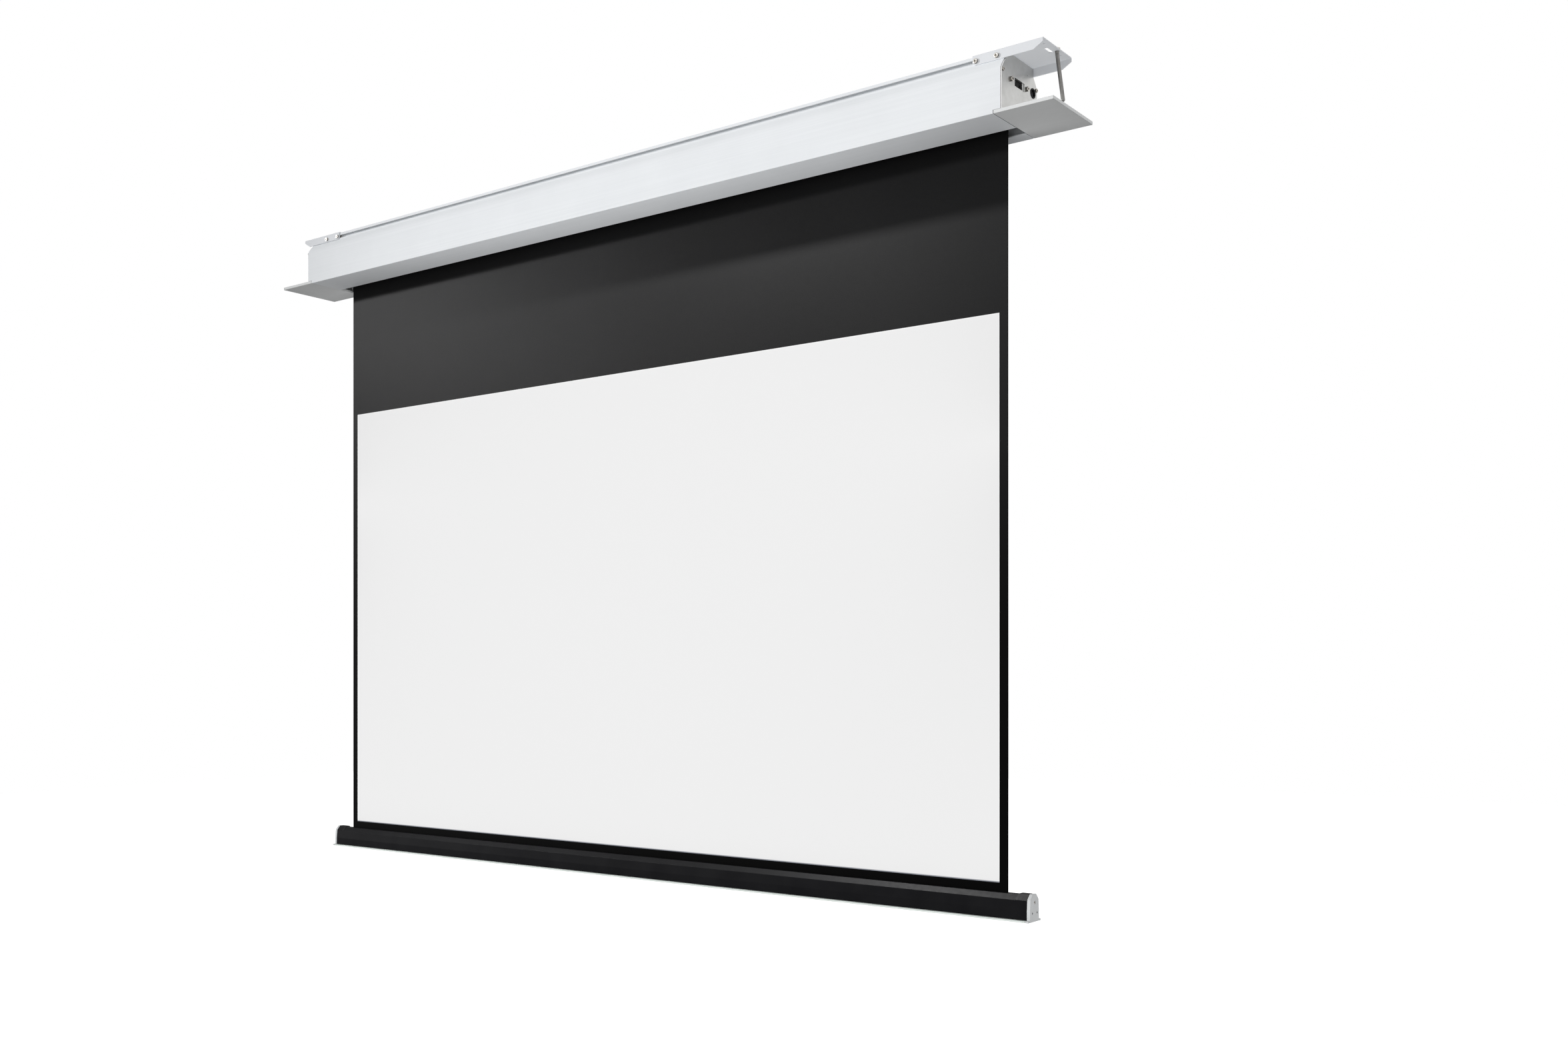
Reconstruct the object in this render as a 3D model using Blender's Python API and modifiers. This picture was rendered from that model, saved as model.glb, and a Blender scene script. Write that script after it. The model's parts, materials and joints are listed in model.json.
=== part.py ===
"""Recessed projector screen, lowered: housing, ceiling brackets, motor roller, cloth and weight bar."""

import math

import bmesh
import bpy
from mathutils import Vector

# All sizes are in metres. X runs along the screen, Y from front to back, Z up.
# The origin is the middle of the housing's flat top.

# Clearance between pieces that touch, and how far a cutter runs past what it cuts
GAP = 0.0003
CUT_MARGIN = 0.010

# Cloth and image
IMAGE_WIDTH = 2.214
IMAGE_HEIGHT = 1.245
SIDE_BORDER = 0.0215
BOTTOM_BORDER = 0.020
BLACK_DROP = 0.3855
CLOTH_THICKNESS = 0.0005
IMAGE_LAYER = 0.0003
WOUND_TURNS = 2

# Housing profile
BODY_DEPTH = 0.164
BODY_HEIGHT = 0.137
NECK_DEPTH = 0.129
WALL = 0.003
GROOVE_LIP = 0.007
GROOVE_MOUTH = 0.008
GROOVE_DEPTH = 0.009
GROOVE_UNDERCUT = 0.0025
NECK_FOOT = 0.004
SHOULDER_DROP = 0.022
CREASE_RADIUS = 0.025
FRONT_SHELF = 0.104
SLOT_WIDTH = 0.045
CLOTH_SETBACK = 0.024
SLOT_UPTURN = 0.010
REAR_FLANGE = 0.022
HOUSING_OVERHANG = 0.049
PORT_RADIUS = 0.0045
PORT_SINK = 0.0008

# End plates
PLATE_THICKNESS = 0.0025
PLATE_INSET = 0.0025
PLATE_SCREW_RADIUS = 0.0021
PLATE_SCREW_HEAD = 0.0042
PLATE_SCREW_LENGTH = 0.018
WINDOW_WIDTH = 0.045
WINDOW_HEIGHT = 0.018
HEAD_SCREW_SPACING = 0.071
HEAD_SCREW_SHIFT = -0.005
HEAD_SCREW_RADIUS = 0.003
HEAD_SCREW_HEAD = 0.0052
CABLE_HOLE_RADIUS = 0.010
CABLE_HOLE_FROM_REAR = 0.022
CABLE_HOLE_FROM_TOP = 0.056
GROMMET_RIM = 0.001
GROMMET_WALL = 0.0022
PILOT_HOLE_RADIUS = 0.0015
PILOT_HOLE_FROM_REAR = 0.045
PILOT_HOLE_FROM_TOP = 0.025

# End trim plates
TRIM_THICKNESS = 0.0075
TRIM_OVERLAP = 0.0175
TRIM_REACH = 0.1225
TONGUE_LENGTH = 0.050
TONGUE_THICKNESS = 0.0025
TONGUE_MARGIN = 0.004

# Ceiling brackets
BRACKET_LENGTH = 0.165
BRACKET_SHEET = 0.0025
BRACKET_BEND = 0.0035
BRACKET_REACH_RIGHT = 0.091
BRACKET_REACH_LEFT = 0.035
FLANGE_CHAMFER_LENGTH = 0.022
FLANGE_CHAMFER_DROP = 0.0125
FLANGE_CORNER = 0.005
HANGER_SLOT_LENGTH = 0.030
HANGER_SLOT_WIDTH = 0.009
HANGER_SLOT_INSET = 0.0205
SMALL_HOLE_RADIUS = 0.0019
SMALL_HOLE_INSET = 0.012
SMALL_HOLE_SPACING = 0.076
BRACKET_SCREW_INSET = 0.008
BRACKET_SCREW_SPACING = 0.050
BRACKET_SCREW_RADIUS = 0.003
BRACKET_SCREW_HEAD = 0.0052
NUT_BAR_THICKNESS = 0.005
NUT_BAR_END = 0.006
NUT_BAR_PLAY = 0.001

# Stay rod between the right bracket and its trim plate
ROD_RADIUS = 0.0042
ROD_INSET = 0.008
ROD_TOP_Y = 0.014
ROD_LEAN_X = 0.0245
ROD_LEAN_Y = -0.0207
ROD_CLEARANCE = 0.008
ROD_STUB = 0.0055
ROD_NECK = 0.003
ROD_NUT_RADIUS = 0.0075
ROD_NUT_HEIGHT = 0.004

# Roller, motor and idler
ROLLER_RADIUS = 0.040
ROLLER_WALL = 0.0015
ROLLER_HEIGHT = 0.072
ROLLER_MARGIN = 0.005
MOTOR_RADIUS = 0.025
MOTOR_LENGTH = 0.450
MOTOR_SHAFT_RADIUS = 0.007
DRIVE_WHEEL_WIDTH = 0.020
CROWN_WIDTH = 0.018
RIM_WIDTH = 0.003
HEAD_RADIUS = 0.032
HEAD_CLEARANCE = 0.003
FIXING_THICKNESS = 0.003
FIXING_END = 0.008
FIXING_SHIFT = -0.004
FIXING_RAISE = 0.009
FIXING_HEIGHT = 0.044
FIXING_WINDOW_STEP = 0.007
LIMIT_SCREW_RADIUS = 0.0032
LIMIT_SCREW_LENGTH = 0.012
LIMIT_SCREW_SPACING = 0.018
IDLER_PIN_RADIUS = 0.008
IDLER_COLLAR_RADIUS = 0.0105
BEARING_RADIUS = 0.016
BEARING_WIDTH = 0.009
PLUG_LENGTH = 0.040

# Weight bar
BAR_OVERHANG = 0.0545
BAR_HEIGHT = 0.053
BAR_DEPTH = 0.041
BAR_TOP_WIDTH = 0.016
BAR_CREASE_WIDTH = 0.037
BAR_FACET_DROP = 0.0115
BAR_FLARE_DROP = 0.022
BAR_WALL = 0.002
SLIT_WIDTH = 0.0022
KEDER_RADIUS = 0.003
KEDER_PLAY = 0.001
STRIP_THICKNESS = 0.004
STRIP_DEPTH = 0.058
STRIP_RIB_HEIGHT = 0.006
STRIP_RIB_THICKNESS = 0.002
BALLAST_WIDTH = 0.030
BALLAST_HEIGHT = 0.010
BALLAST_SETBACK = 0.050
HOOD_LENGTH = 0.029
HOOD_RAISE = 0.0025
CAP_THICKNESS = 0.009
CAP_EDGE = 0.0015
CAP_SCREW_LENGTH = 0.007
CAP_TOP_SCREW_DROP = 0.015
CAP_TOP_SCREW_HEAD = 0.0034
CAP_LOW_SCREW_DROP = 0.038
CAP_LOW_SCREW_HEAD = 0.0022
CAP_LOW_SCREW_SPACING = 0.022
CAP_SCREW_RECESS = 0.001

# Screw heads, as shares of the head's radius or height
HEAD_ROUNDING = 0.3
SOCKET_DEPTH = 0.6
SOCKET_RADIUS = 0.5
LOW_HEAD = 0.7
SUNK_HEAD = 0.5
SLIM_SHANK = 0.5

# Sides of the round pieces
ROUND_STEPS = 48
SMALL_STEPS = 16
BEND_STEPS = 4
HEX_STEPS = 6
ROD_BEVEL_STEPS = 2

# Angles in degrees
QUARTER_TURN = 90
HALF_TURN = 180

# Meshes: welding distance and the angle that still shades smooth
WELD = 0.00001
MERGE = 0.0001
SMOOTH_ANGLE = math.radians(35)

# Heights of the housing's corners
groove_top = -GROOVE_LIP
groove_bottom = groove_top - GROOVE_MOUTH
neck_foot = groove_bottom - NECK_FOOT
crease = neck_foot - SHOULDER_DROP
underside = -BODY_HEIGHT
plate_bottom = underside + TRIM_THICKNESS + GAP
groove_middle = (groove_top + groove_bottom) / 2

# Depths of the housing's corners
half_body = BODY_DEPTH / 2
half_neck = NECK_DEPTH / 2
slot_front = -half_body + FRONT_SHELF
slot_rear = slot_front + SLOT_WIDTH
cloth_y = slot_front + CLOTH_SETBACK

# Ends along X
half_cloth = IMAGE_WIDTH / 2 + SIDE_BORDER
housing_end = half_cloth + HOUSING_OVERHANG
plate_inner = housing_end + GAP
plate_outer = plate_inner + PLATE_THICKNESS
seam = housing_end - TRIM_OVERLAP
tube_end = half_cloth + ROLLER_MARGIN
bar_end = half_cloth + BAR_OVERHANG

# Roller axis
wound_radius = ROLLER_RADIUS + GAP + WOUND_TURNS * CLOTH_THICKNESS
roller_y = cloth_y - CLOTH_THICKNESS / 2 - GAP - wound_radius
roller_z = underside + ROLLER_HEIGHT
tube_bore = ROLLER_RADIUS - ROLLER_WALL
fixing_y = roller_y + FIXING_SHIFT
fixing_z = roller_z + FIXING_RAISE

# Heights of the cloth and the bar
image_top = underside - BLACK_DROP
image_bottom = image_top - IMAGE_HEIGHT
bar_top = image_bottom - BOTTOM_BORDER
keder_drop = BAR_WALL + GAP + KEDER_RADIUS
bar_foot = bar_top - BAR_HEIGHT

ALONG_X = Vector((1, 0, 0))
ALONG_Y = Vector((0, 1, 0))
ALONG_Z = Vector((0, 0, 1))


def clear_scene():
    """Remove what a new Blender file holds."""
    for item in list(bpy.data.objects):
        bpy.data.objects.remove(item)


clear_scene()

PARTS = bpy.data.collections.new("projector_screen")
CUTTERS = bpy.data.collections.new("cutters")
for group in (PARTS, CUTTERS):
    bpy.context.scene.collection.children.link(group)


def finish(name, colour, roughness, metallic=0.0):
    """A Principled material of one colour."""
    made = bpy.data.materials.new(name)
    made.use_nodes = True
    shader = made.node_tree.nodes["Principled BSDF"]
    shader.inputs["Base Color"].default_value = (*colour, 1.0)
    shader.inputs["Roughness"].default_value = roughness
    shader.inputs["Metallic"].default_value = metallic
    return made


WHITE_PAINT = finish("white_painted_aluminium", (0.80, 0.81, 0.83), 0.45)
BRACKET_PAINT = finish("white_painted_steel", (0.82, 0.83, 0.86), 0.42)
BARE_STEEL = finish("bare_steel", (0.58, 0.58, 0.56), 0.42, 1.0)
DARK_STEEL = finish("dark_steel", (0.20, 0.19, 0.18), 0.45, 1.0)
NICKEL = finish("nickel", (0.62, 0.58, 0.52), 0.30, 1.0)
ALUMINIUM = finish("aluminium", (0.70, 0.71, 0.72), 0.38, 1.0)
BLACK_PAINT = finish("black_painted_aluminium", (0.012, 0.012, 0.014), 0.45)
BLACK_CLOTH = finish("black_cloth", (0.02, 0.02, 0.021), 0.85)
WHITE_IMAGE = finish("white_image", (0.86, 0.86, 0.86), 0.90)
PALE_PLASTIC = finish("pale_plastic", (0.68, 0.70, 0.71), 0.40)
BLACK_PLASTIC = finish("black_plastic", (0.02, 0.02, 0.02), 0.50)


def tidy(mesh):
    """Weld a mesh and turn its faces outwards."""
    work = bmesh.new()
    work.from_mesh(mesh)
    bmesh.ops.remove_doubles(work, verts=work.verts, dist=WELD)
    bmesh.ops.recalc_face_normals(work, faces=work.faces)
    work.to_mesh(mesh)
    work.free()
    return mesh


def shade_round(mesh):
    """Shade a round piece's sides smooth and leave its edges sharp."""
    mesh.shade_smooth()
    mesh.set_sharp_from_angle(angle=SMOOTH_ANGLE)
    return mesh


def mesh_of(maker):
    """The evaluated mesh of a temporary object, which is then removed."""
    CUTTERS.objects.link(maker)
    bpy.context.view_layer.update()
    depsgraph = bpy.context.evaluated_depsgraph_get()
    made = bpy.data.meshes.new_from_object(maker.evaluated_get(depsgraph))
    bpy.data.objects.remove(maker)
    return tidy(made)


def aim(piece, location, direction):
    """Move an object to a place, with its own Z along a direction."""
    piece.location = location
    piece.rotation_euler = ALONG_Z.rotation_difference(direction).to_euler()
    return piece


def part(name, mesh, material, location=(0, 0, 0), direction=ALONG_Z):
    """One named piece of the object."""
    piece = bpy.data.objects.new(name, mesh)
    if not mesh.materials:
        mesh.materials.append(material)
    PARTS.objects.link(piece)
    return aim(piece, location, direction)


def tool(name, mesh, location=(0, 0, 0), direction=ALONG_Z):
    """A shape that cuts or joins a piece, and is no piece itself."""
    shape = bpy.data.objects.new(name, mesh)
    CUTTERS.objects.link(shape)
    shape.hide_render = True
    shape.display_type = "WIRE"
    return aim(shape, location, direction)


def combine(piece, shape, operation="DIFFERENCE"):
    """Cut a shape out of a piece, or join it on."""
    step = piece.modifiers.new(shape.name, "BOOLEAN")
    step.operation = operation
    step.object = shape


def outline_mesh(outlines, thickness):
    """A flat plate: the first outline is its edge and the others are holes."""
    curve = bpy.data.curves.new("outline", "CURVE")
    curve.dimensions = "2D"
    curve.fill_mode = "BOTH"
    curve.extrude = thickness / 2
    for outline in outlines:
        spline = curve.splines.new("POLY")
        spline.points.add(len(outline) - 1)
        for point, (across, up) in zip(spline.points, outline):
            point.co = (across, up, 0, 1)
        spline.use_cyclic_u = True
    plate = mesh_of(bpy.data.objects.new("outline", curve))
    plate.shade_flat()
    return plate


def turned_mesh(profile, steps, closed=False):
    """A turned piece about Z from (radius, height) points, top to bottom down its outer side."""
    mesh = bpy.data.meshes.new("profile")
    edges = [(index, index + 1) for index in range(len(profile) - 1)]
    if closed:
        edges.append((len(profile) - 1, 0))
    mesh.from_pydata([(radius, 0, height) for radius, height in profile], edges, [])
    maker = bpy.data.objects.new("profile", mesh)
    turn = maker.modifiers.new("turn", "SCREW")
    turn.steps = steps
    turn.render_steps = steps
    turn.use_merge_vertices = True
    turn.merge_threshold = MERGE
    return shade_round(mesh_of(maker))


def box_mesh(size):
    """A box about its own centre."""
    work = bmesh.new()
    bmesh.ops.create_cube(work, size=1)
    bmesh.ops.scale(work, vec=size, verts=work.verts)
    mesh = bpy.data.meshes.new("box")
    work.to_mesh(mesh)
    work.free()
    return mesh


def box_between(low, high):
    """A box's mesh and centre from its two corners."""
    low = Vector(low)
    high = Vector(high)
    return box_mesh(high - low), (low + high) / 2


def rod_mesh(radius, length, steps=SMALL_STEPS):
    """A plain round bar about its own centre, along Z."""
    half = length / 2
    return turned_mesh([(0, half), (radius, half), (radius, -half), (0, -half)], steps)


def ring_mesh(inner, outer, width, steps=ROUND_STEPS):
    """A plain ring about its own centre, along Z."""
    half = width / 2
    corners = [(outer, half), (outer, -half), (inner, -half), (inner, half)]
    return turned_mesh(corners, steps, closed=True)


def lie_along_x(piece, start, end):
    """Set a flat outline of (y, z) points upright, from x = start to x = end."""
    piece.rotation_euler = (math.pi / 2, 0, math.pi / 2)
    piece.location = ((start + end) / 2, 0, 0)
    return piece


def profile_part(name, outlines, start, end, material):
    """A piece with one cross-section of (y, z) outlines all along X."""
    mesh = outline_mesh(outlines, abs(end - start))
    return lie_along_x(part(name, mesh, material), start, end)


def circle(across, up, radius, steps=SMALL_STEPS):
    """Points of a round hole."""
    turns = [2 * math.pi * index / steps for index in range(steps)]
    return [(across + radius * math.cos(turn), up + radius * math.sin(turn)) for turn in turns]


def arc(across, up, radius, start, end, steps):
    """Points of an arc between two angles in degrees."""
    turns = [math.radians(start + (end - start) * index / steps) for index in range(steps + 1)]
    return [(across + radius * math.cos(turn), up + radius * math.sin(turn)) for turn in turns]


def mirrored(points):
    """The same points on the other side of the middle, in reverse order."""
    return [(-across, up) for across, up in reversed(points)]


def rectangle(across, up, width, height):
    """Points of a square-cornered hole."""
    left, right = across - width / 2, across + width / 2
    low, high = up - height / 2, up + height / 2
    return [(left, low), (right, low), (right, high), (left, high)]


def rounded_corner(before, corner, after, radius):
    """Points of the arc that rounds one corner of an outline."""
    corner = Vector(corner)
    sides = [(Vector(point) - corner).normalized() for point in (before, after)]
    half_angle = sides[0].angle(sides[1]) / 2
    centre = corner + (sides[0] + sides[1]).normalized() * radius / math.sin(half_angle)
    touches = [corner + side * radius / math.tan(half_angle) - centre for side in sides]
    turns = [touches[0].lerp(touches[1], index / BEND_STEPS) for index in range(BEND_STEPS + 1)]
    return [tuple(centre + turn.normalized() * radius) for turn in turns]


def offset_corner(before, corner, after, distance):
    """Where two sides of an outline meet once both have moved to their left."""
    before, corner, after = (Vector(point) for point in (before, corner, after))
    sides = [(corner - before).normalized(), (after - corner).normalized()]
    first, second = (Vector((-side.y, side.x)) for side in sides)
    return tuple(corner + (first + second) * distance / (1 + first.dot(second)))


def screw_mesh(head_radius, head_height, shank_radius, shank_length):
    """A screw with a rounded head and a hexagon socket: the head's underside is at zero."""
    smaller = min(head_radius, head_height)
    rounding = HEAD_ROUNDING * smaller
    profile = [
        (0, head_height),
        (head_radius - rounding, head_height),
        (head_radius, head_height - rounding),
        (head_radius, 0),
        (shank_radius, 0),
        (shank_radius, -shank_length),
        (0, -shank_length),
    ]
    blank = bpy.data.objects.new("blank", turned_mesh(profile, SMALL_STEPS))
    socket_depth = SOCKET_DEPTH * smaller
    socket = tool(
        "socket",
        rod_mesh(SOCKET_RADIUS * head_radius, 2 * socket_depth, HEX_STEPS),
        location=(0, 0, head_height),
    )
    combine(blank, socket)
    made = shade_round(mesh_of(blank))
    bpy.data.objects.remove(socket)
    return made


def groove_corners():
    """The neck's front side with its T-slot groove, bottom to top."""
    lip = -half_neck + WALL
    back = -half_neck + GROOVE_DEPTH
    low = groove_bottom - GROOVE_UNDERCUT
    high = groove_top + GROOVE_UNDERCUT
    return [
        (-half_neck, neck_foot),
        (-half_neck, groove_bottom),
        (lip, groove_bottom),
        (lip, low),
        (back, low),
        (back, high),
        (lip, high),
        (lip, groove_top),
        (-half_neck, groove_top),
    ]


def housing_outline():
    """The housing's cross-section: one closed path round the outside and back inside."""
    neck = groove_corners()
    shoulder = rounded_corner(
        (-half_body, underside), (-half_body, crease), neck[0], CREASE_RADIUS
    )
    outside = shoulder + neck + [(-half_neck, 0)]
    lean = math.atan2(half_body - half_neck, SHOULDER_DROP)
    inner_crease = crease - WALL * math.tan(lean / 2)
    chamber = -half_neck + GROOVE_DEPTH + WALL
    shelf = min(groove_bottom - GROOVE_UNDERCUT, neck_foot) - WALL
    shelf_y = -half_body + WALL + (shelf - inner_crease) * math.tan(lean)
    inner_foot = (-half_body + WALL, underside + WALL)
    inner_shoulder = rounded_corner(
        (shelf_y, shelf),
        (-half_body + WALL, inner_crease),
        inner_foot,
        CREASE_RADIUS - WALL,
    )
    inside = [(chamber, -WALL), (chamber, shelf), (shelf_y, shelf)] + inner_shoulder
    rear_foot = [
        (half_body, underside + WALL),
        (half_body + REAR_FLANGE, underside + WALL),
        (half_body + REAR_FLANGE, underside),
        (slot_rear, underside),
        (slot_rear, underside + WALL),
        (half_body - WALL, underside + WALL),
    ]
    front_foot = [
        inner_foot,
        (slot_front - WALL, underside + WALL),
        (slot_front - WALL, underside + SLOT_UPTURN),
        (slot_front, underside + SLOT_UPTURN),
        (slot_front, underside),
        (-half_body, underside),
    ]
    return outside + mirrored(outside) + rear_foot + mirrored(inside) + inside + front_foot


def port_places():
    """Where the end plates' corner screws enter, in the shoulders."""
    across = half_body - WALL - PORT_RADIUS + PORT_SINK
    up = crease - PORT_RADIUS
    return [(-across, up), (across, up)]


def fixing_places():
    """Where the screws of the motor's and the idler's brackets pass through the end plates."""
    middle = fixing_y + HEAD_SCREW_SHIFT
    reach = HEAD_SCREW_SPACING / 2
    return [(middle - reach, fixing_z), (middle + reach, fixing_z)]


def span(side, near, far):
    """The lower and upper x of a stretch at one end of the screen."""
    return sorted((side * near, side * far))


def make_housing():
    """The long extrusion, with its screw ports, and its lips cut back for the trim plates."""
    housing = profile_part(
        "housing_extrusion", [housing_outline()], -housing_end, housing_end, WHITE_PAINT
    )
    for name, (across, up) in zip(("front", "rear"), port_places()):
        port = tool(
            f"{name}_port",
            rod_mesh(PORT_RADIUS, 2 * (housing_end - GAP)),
            location=(0, across, up),
            direction=ALONG_X,
        )
        combine(housing, port, "UNION")
    for side in (-1, 1):
        near, far = span(side, seam, housing_end + CUT_MARGIN)
        mesh, middle = box_between(
            (near, -half_body - CUT_MARGIN, underside - CUT_MARGIN),
            (far, half_body + REAR_FLANGE + CUT_MARGIN, plate_bottom),
        )
        combine(housing, tool(f"lip_notch_{side}", mesh, middle))
        depth = PLATE_SCREW_LENGTH + CUT_MARGIN
        for name, (across, up) in zip(("front", "rear"), port_places()):
            hole = tool(
                f"{name}_port_hole_{side}",
                rod_mesh(PLATE_SCREW_RADIUS + GAP, 2 * depth),
                location=(side * (housing_end + CUT_MARGIN), across, up),
                direction=ALONG_X,
            )
            combine(housing, hole)


def plate_outline():
    """An end plate's edge: the housing's outline drawn in, without the grooves."""
    foot = (-half_body + PLATE_INSET, plate_bottom)
    corner = (-half_body + PLATE_INSET, crease)
    neck = (-half_neck + PLATE_INSET, neck_foot)
    shoulder = rounded_corner(foot, corner, neck, CREASE_RADIUS - PLATE_INSET)
    front = [foot, *shoulder, neck, (-half_neck + PLATE_INSET, -PLATE_INSET)]
    return front + mirrored(front)


def make_end_plates():
    """The right plate has the motor's window, the cable hole and a pilot hole."""
    screw_holes = [circle(*place, PLATE_SCREW_RADIUS + GAP) for place in port_places()]
    screw_holes += [circle(*place, HEAD_SCREW_RADIUS + GAP) for place in fixing_places()]
    window = rectangle(fixing_y, fixing_z, WINDOW_WIDTH, WINDOW_HEIGHT)
    cable_hole = circle(*cable_place(), CABLE_HOLE_RADIUS)
    pilot_place = (half_body - PILOT_HOLE_FROM_REAR, -PILOT_HOLE_FROM_TOP)
    pilot_hole = circle(*pilot_place, PILOT_HOLE_RADIUS)
    right = [plate_outline(), *screw_holes, window, cable_hole, pilot_hole]
    profile_part("end_plate_right", right, plate_inner, plate_outer, BARE_STEEL)
    left = [plate_outline(), *screw_holes]
    profile_part("end_plate_left", left, -plate_outer, -plate_inner, BARE_STEEL)


def cable_place():
    """The middle of the hole that the mains lead leaves by."""
    return half_body - CABLE_HOLE_FROM_REAR, -CABLE_HOLE_FROM_TOP


def make_grommet():
    """The rimmed bush in the cable hole."""
    neck = CABLE_HOLE_RADIUS - GAP
    rim = CABLE_HOLE_RADIUS + GROMMET_RIM
    bore = neck - GROMMET_WALL
    outer = plate_outer + GAP + GROMMET_RIM
    inner = plate_inner - GROMMET_RIM
    profile = [
        (rim, outer),
        (rim, plate_outer + GAP),
        (neck, plate_outer + GAP),
        (neck, inner),
        (bore, inner),
        (bore, outer),
    ]
    mesh = turned_mesh(profile, 2 * SMALL_STEPS, closed=True)
    part("cable_grommet", mesh, BLACK_PLASTIC, (0, *cable_place()), ALONG_X)


def make_plate_screws():
    """Corner screws in the ports, and the larger ones that hold the motor's and idler's brackets."""
    corner = screw_mesh(
        PLATE_SCREW_HEAD, PLATE_SCREW_HEAD * LOW_HEAD, PLATE_SCREW_RADIUS, PLATE_SCREW_LENGTH
    )
    fixing_depth = GAP + PLATE_THICKNESS + GAP + FIXING_THICKNESS
    fixing = screw_mesh(HEAD_SCREW_HEAD, HEAD_SCREW_HEAD, HEAD_SCREW_RADIUS, fixing_depth)
    for side, end in ((1, "right"), (-1, "left")):
        x = side * (plate_outer + GAP)
        for name, place in zip(("front", "rear"), port_places()):
            part(f"{end}_plate_{name}_screw", corner, NICKEL, (x, *place), side * ALONG_X)
        for name, place in zip(("front", "rear"), fixing_places()):
            part(f"{end}_fixing_{name}_screw", fixing, NICKEL, (x, *place), side * ALONG_X)


def make_trim_plate(side, end):
    """The flat board that carries the underside on past the housing, with its hidden tongue."""
    near, far = span(side, seam + GAP, housing_end + TRIM_REACH)
    mesh, middle = box_between(
        (near, -half_body, underside),
        (far, half_body + REAR_FLANGE, underside + TRIM_THICKNESS),
    )
    board = part(f"trim_plate_{end}", mesh, WHITE_PAINT, middle)
    near, far = span(side, seam - TONGUE_LENGTH, seam + GAP + TONGUE_THICKNESS)
    floor = underside + WALL + GAP
    mesh, middle = box_between(
        (near, -half_body + WALL + TONGUE_MARGIN, floor),
        (far, slot_front - WALL - TONGUE_MARGIN, floor + TONGUE_THICKNESS),
    )
    combine(board, tool(f"tongue_{end}", mesh, middle), "UNION")


web_top = GAP + BRACKET_SHEET
flange_foot = neck_foot + GAP
flange_outer = half_neck + GAP + BRACKET_SHEET


def bracket_outline():
    """The bracket's cross-section: a channel, folded down over the neck."""
    inner = half_neck + GAP
    front = [(-inner, GAP), (-inner, flange_foot), (-flange_outer, flange_foot)]
    bend = (-flange_outer + BRACKET_BEND, web_top - BRACKET_BEND)
    front += arc(*bend, BRACKET_BEND, HALF_TURN, QUARTER_TURN, BEND_STEPS)
    return front + mirrored(front)


def web_hole(name, outline, x, y):
    """A cutter with a flat outline of (x, y) points, through a bracket's web."""
    return tool(name, outline_mesh([outline], BRACKET_SHEET + 2 * CUT_MARGIN), (x, y, web_top))


def end_cut(name, side, end_x, length, drop):
    """A cutter that takes the lower corner off both flanges at one end of a bracket."""
    corner = [
        (end_x - side * length, flange_foot),
        (end_x, flange_foot + drop),
        (end_x + side * CUT_MARGIN, flange_foot + drop),
        (end_x + side * CUT_MARGIN, flange_foot - CUT_MARGIN),
        (end_x - side * length, flange_foot - CUT_MARGIN),
    ]
    shape = tool(name, outline_mesh([corner], 2 * (flange_outer + CUT_MARGIN)))
    shape.rotation_euler = (math.pi / 2, 0, 0)
    return shape


def hanger_slot():
    """The outline of the slotted hole, its length from front to back."""
    radius = HANGER_SLOT_WIDTH / 2
    reach = HANGER_SLOT_LENGTH / 2 - radius
    far_end = arc(0, reach, radius, 0, HALF_TURN, SMALL_STEPS // 2)
    return far_end + arc(0, -reach, radius, HALF_TURN, 2 * HALF_TURN, SMALL_STEPS // 2)


def bracket_screw_places(side, inner_x):
    """The x of both screws of a bracket."""
    first = inner_x + side * BRACKET_SCREW_INSET
    return [first, first + side * BRACKET_SCREW_SPACING]


def make_bracket(side, end, reach):
    """A ceiling bracket: chamfered flanges, a slotted hole and two small holes."""
    outer_x = side * (housing_end + reach)
    inner_x = outer_x - side * BRACKET_LENGTH
    low, high = sorted((inner_x, outer_x))
    bracket = profile_part(f"bracket_{end}", [bracket_outline()], low, high, BRACKET_PAINT)
    slot_x = outer_x - side * HANGER_SLOT_INSET
    combine(bracket, web_hole(f"hanger_slot_{end}", hanger_slot(), slot_x, 0))
    hole_x = outer_x - side * SMALL_HOLE_INSET
    for row in (-1, 1):
        y = row * SMALL_HOLE_SPACING / 2
        outline = circle(0, 0, SMALL_HOLE_RADIUS)
        combine(bracket, web_hole(f"small_hole_{end}_{row}", outline, hole_x, y))
    outer_cut = end_cut(
        f"outer_chamfer_{end}", side, outer_x, FLANGE_CHAMFER_LENGTH, FLANGE_CHAMFER_DROP
    )
    combine(bracket, outer_cut)
    inner_cut = end_cut(f"inner_chamfer_{end}", -side, inner_x, FLANGE_CORNER, FLANGE_CORNER)
    combine(bracket, inner_cut)
    for index, x in enumerate(bracket_screw_places(side, inner_x)):
        hole = tool(
            f"bracket_screw_hole_{end}_{index}",
            rod_mesh(BRACKET_SCREW_RADIUS + GAP, 2 * (flange_outer + CUT_MARGIN)),
            (x, 0, groove_middle),
            ALONG_Y,
        )
        combine(bracket, hole)
    make_nut_bars(side, end, inner_x)
    make_bracket_screws(side, end, inner_x)
    return bracket, outer_x


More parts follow.
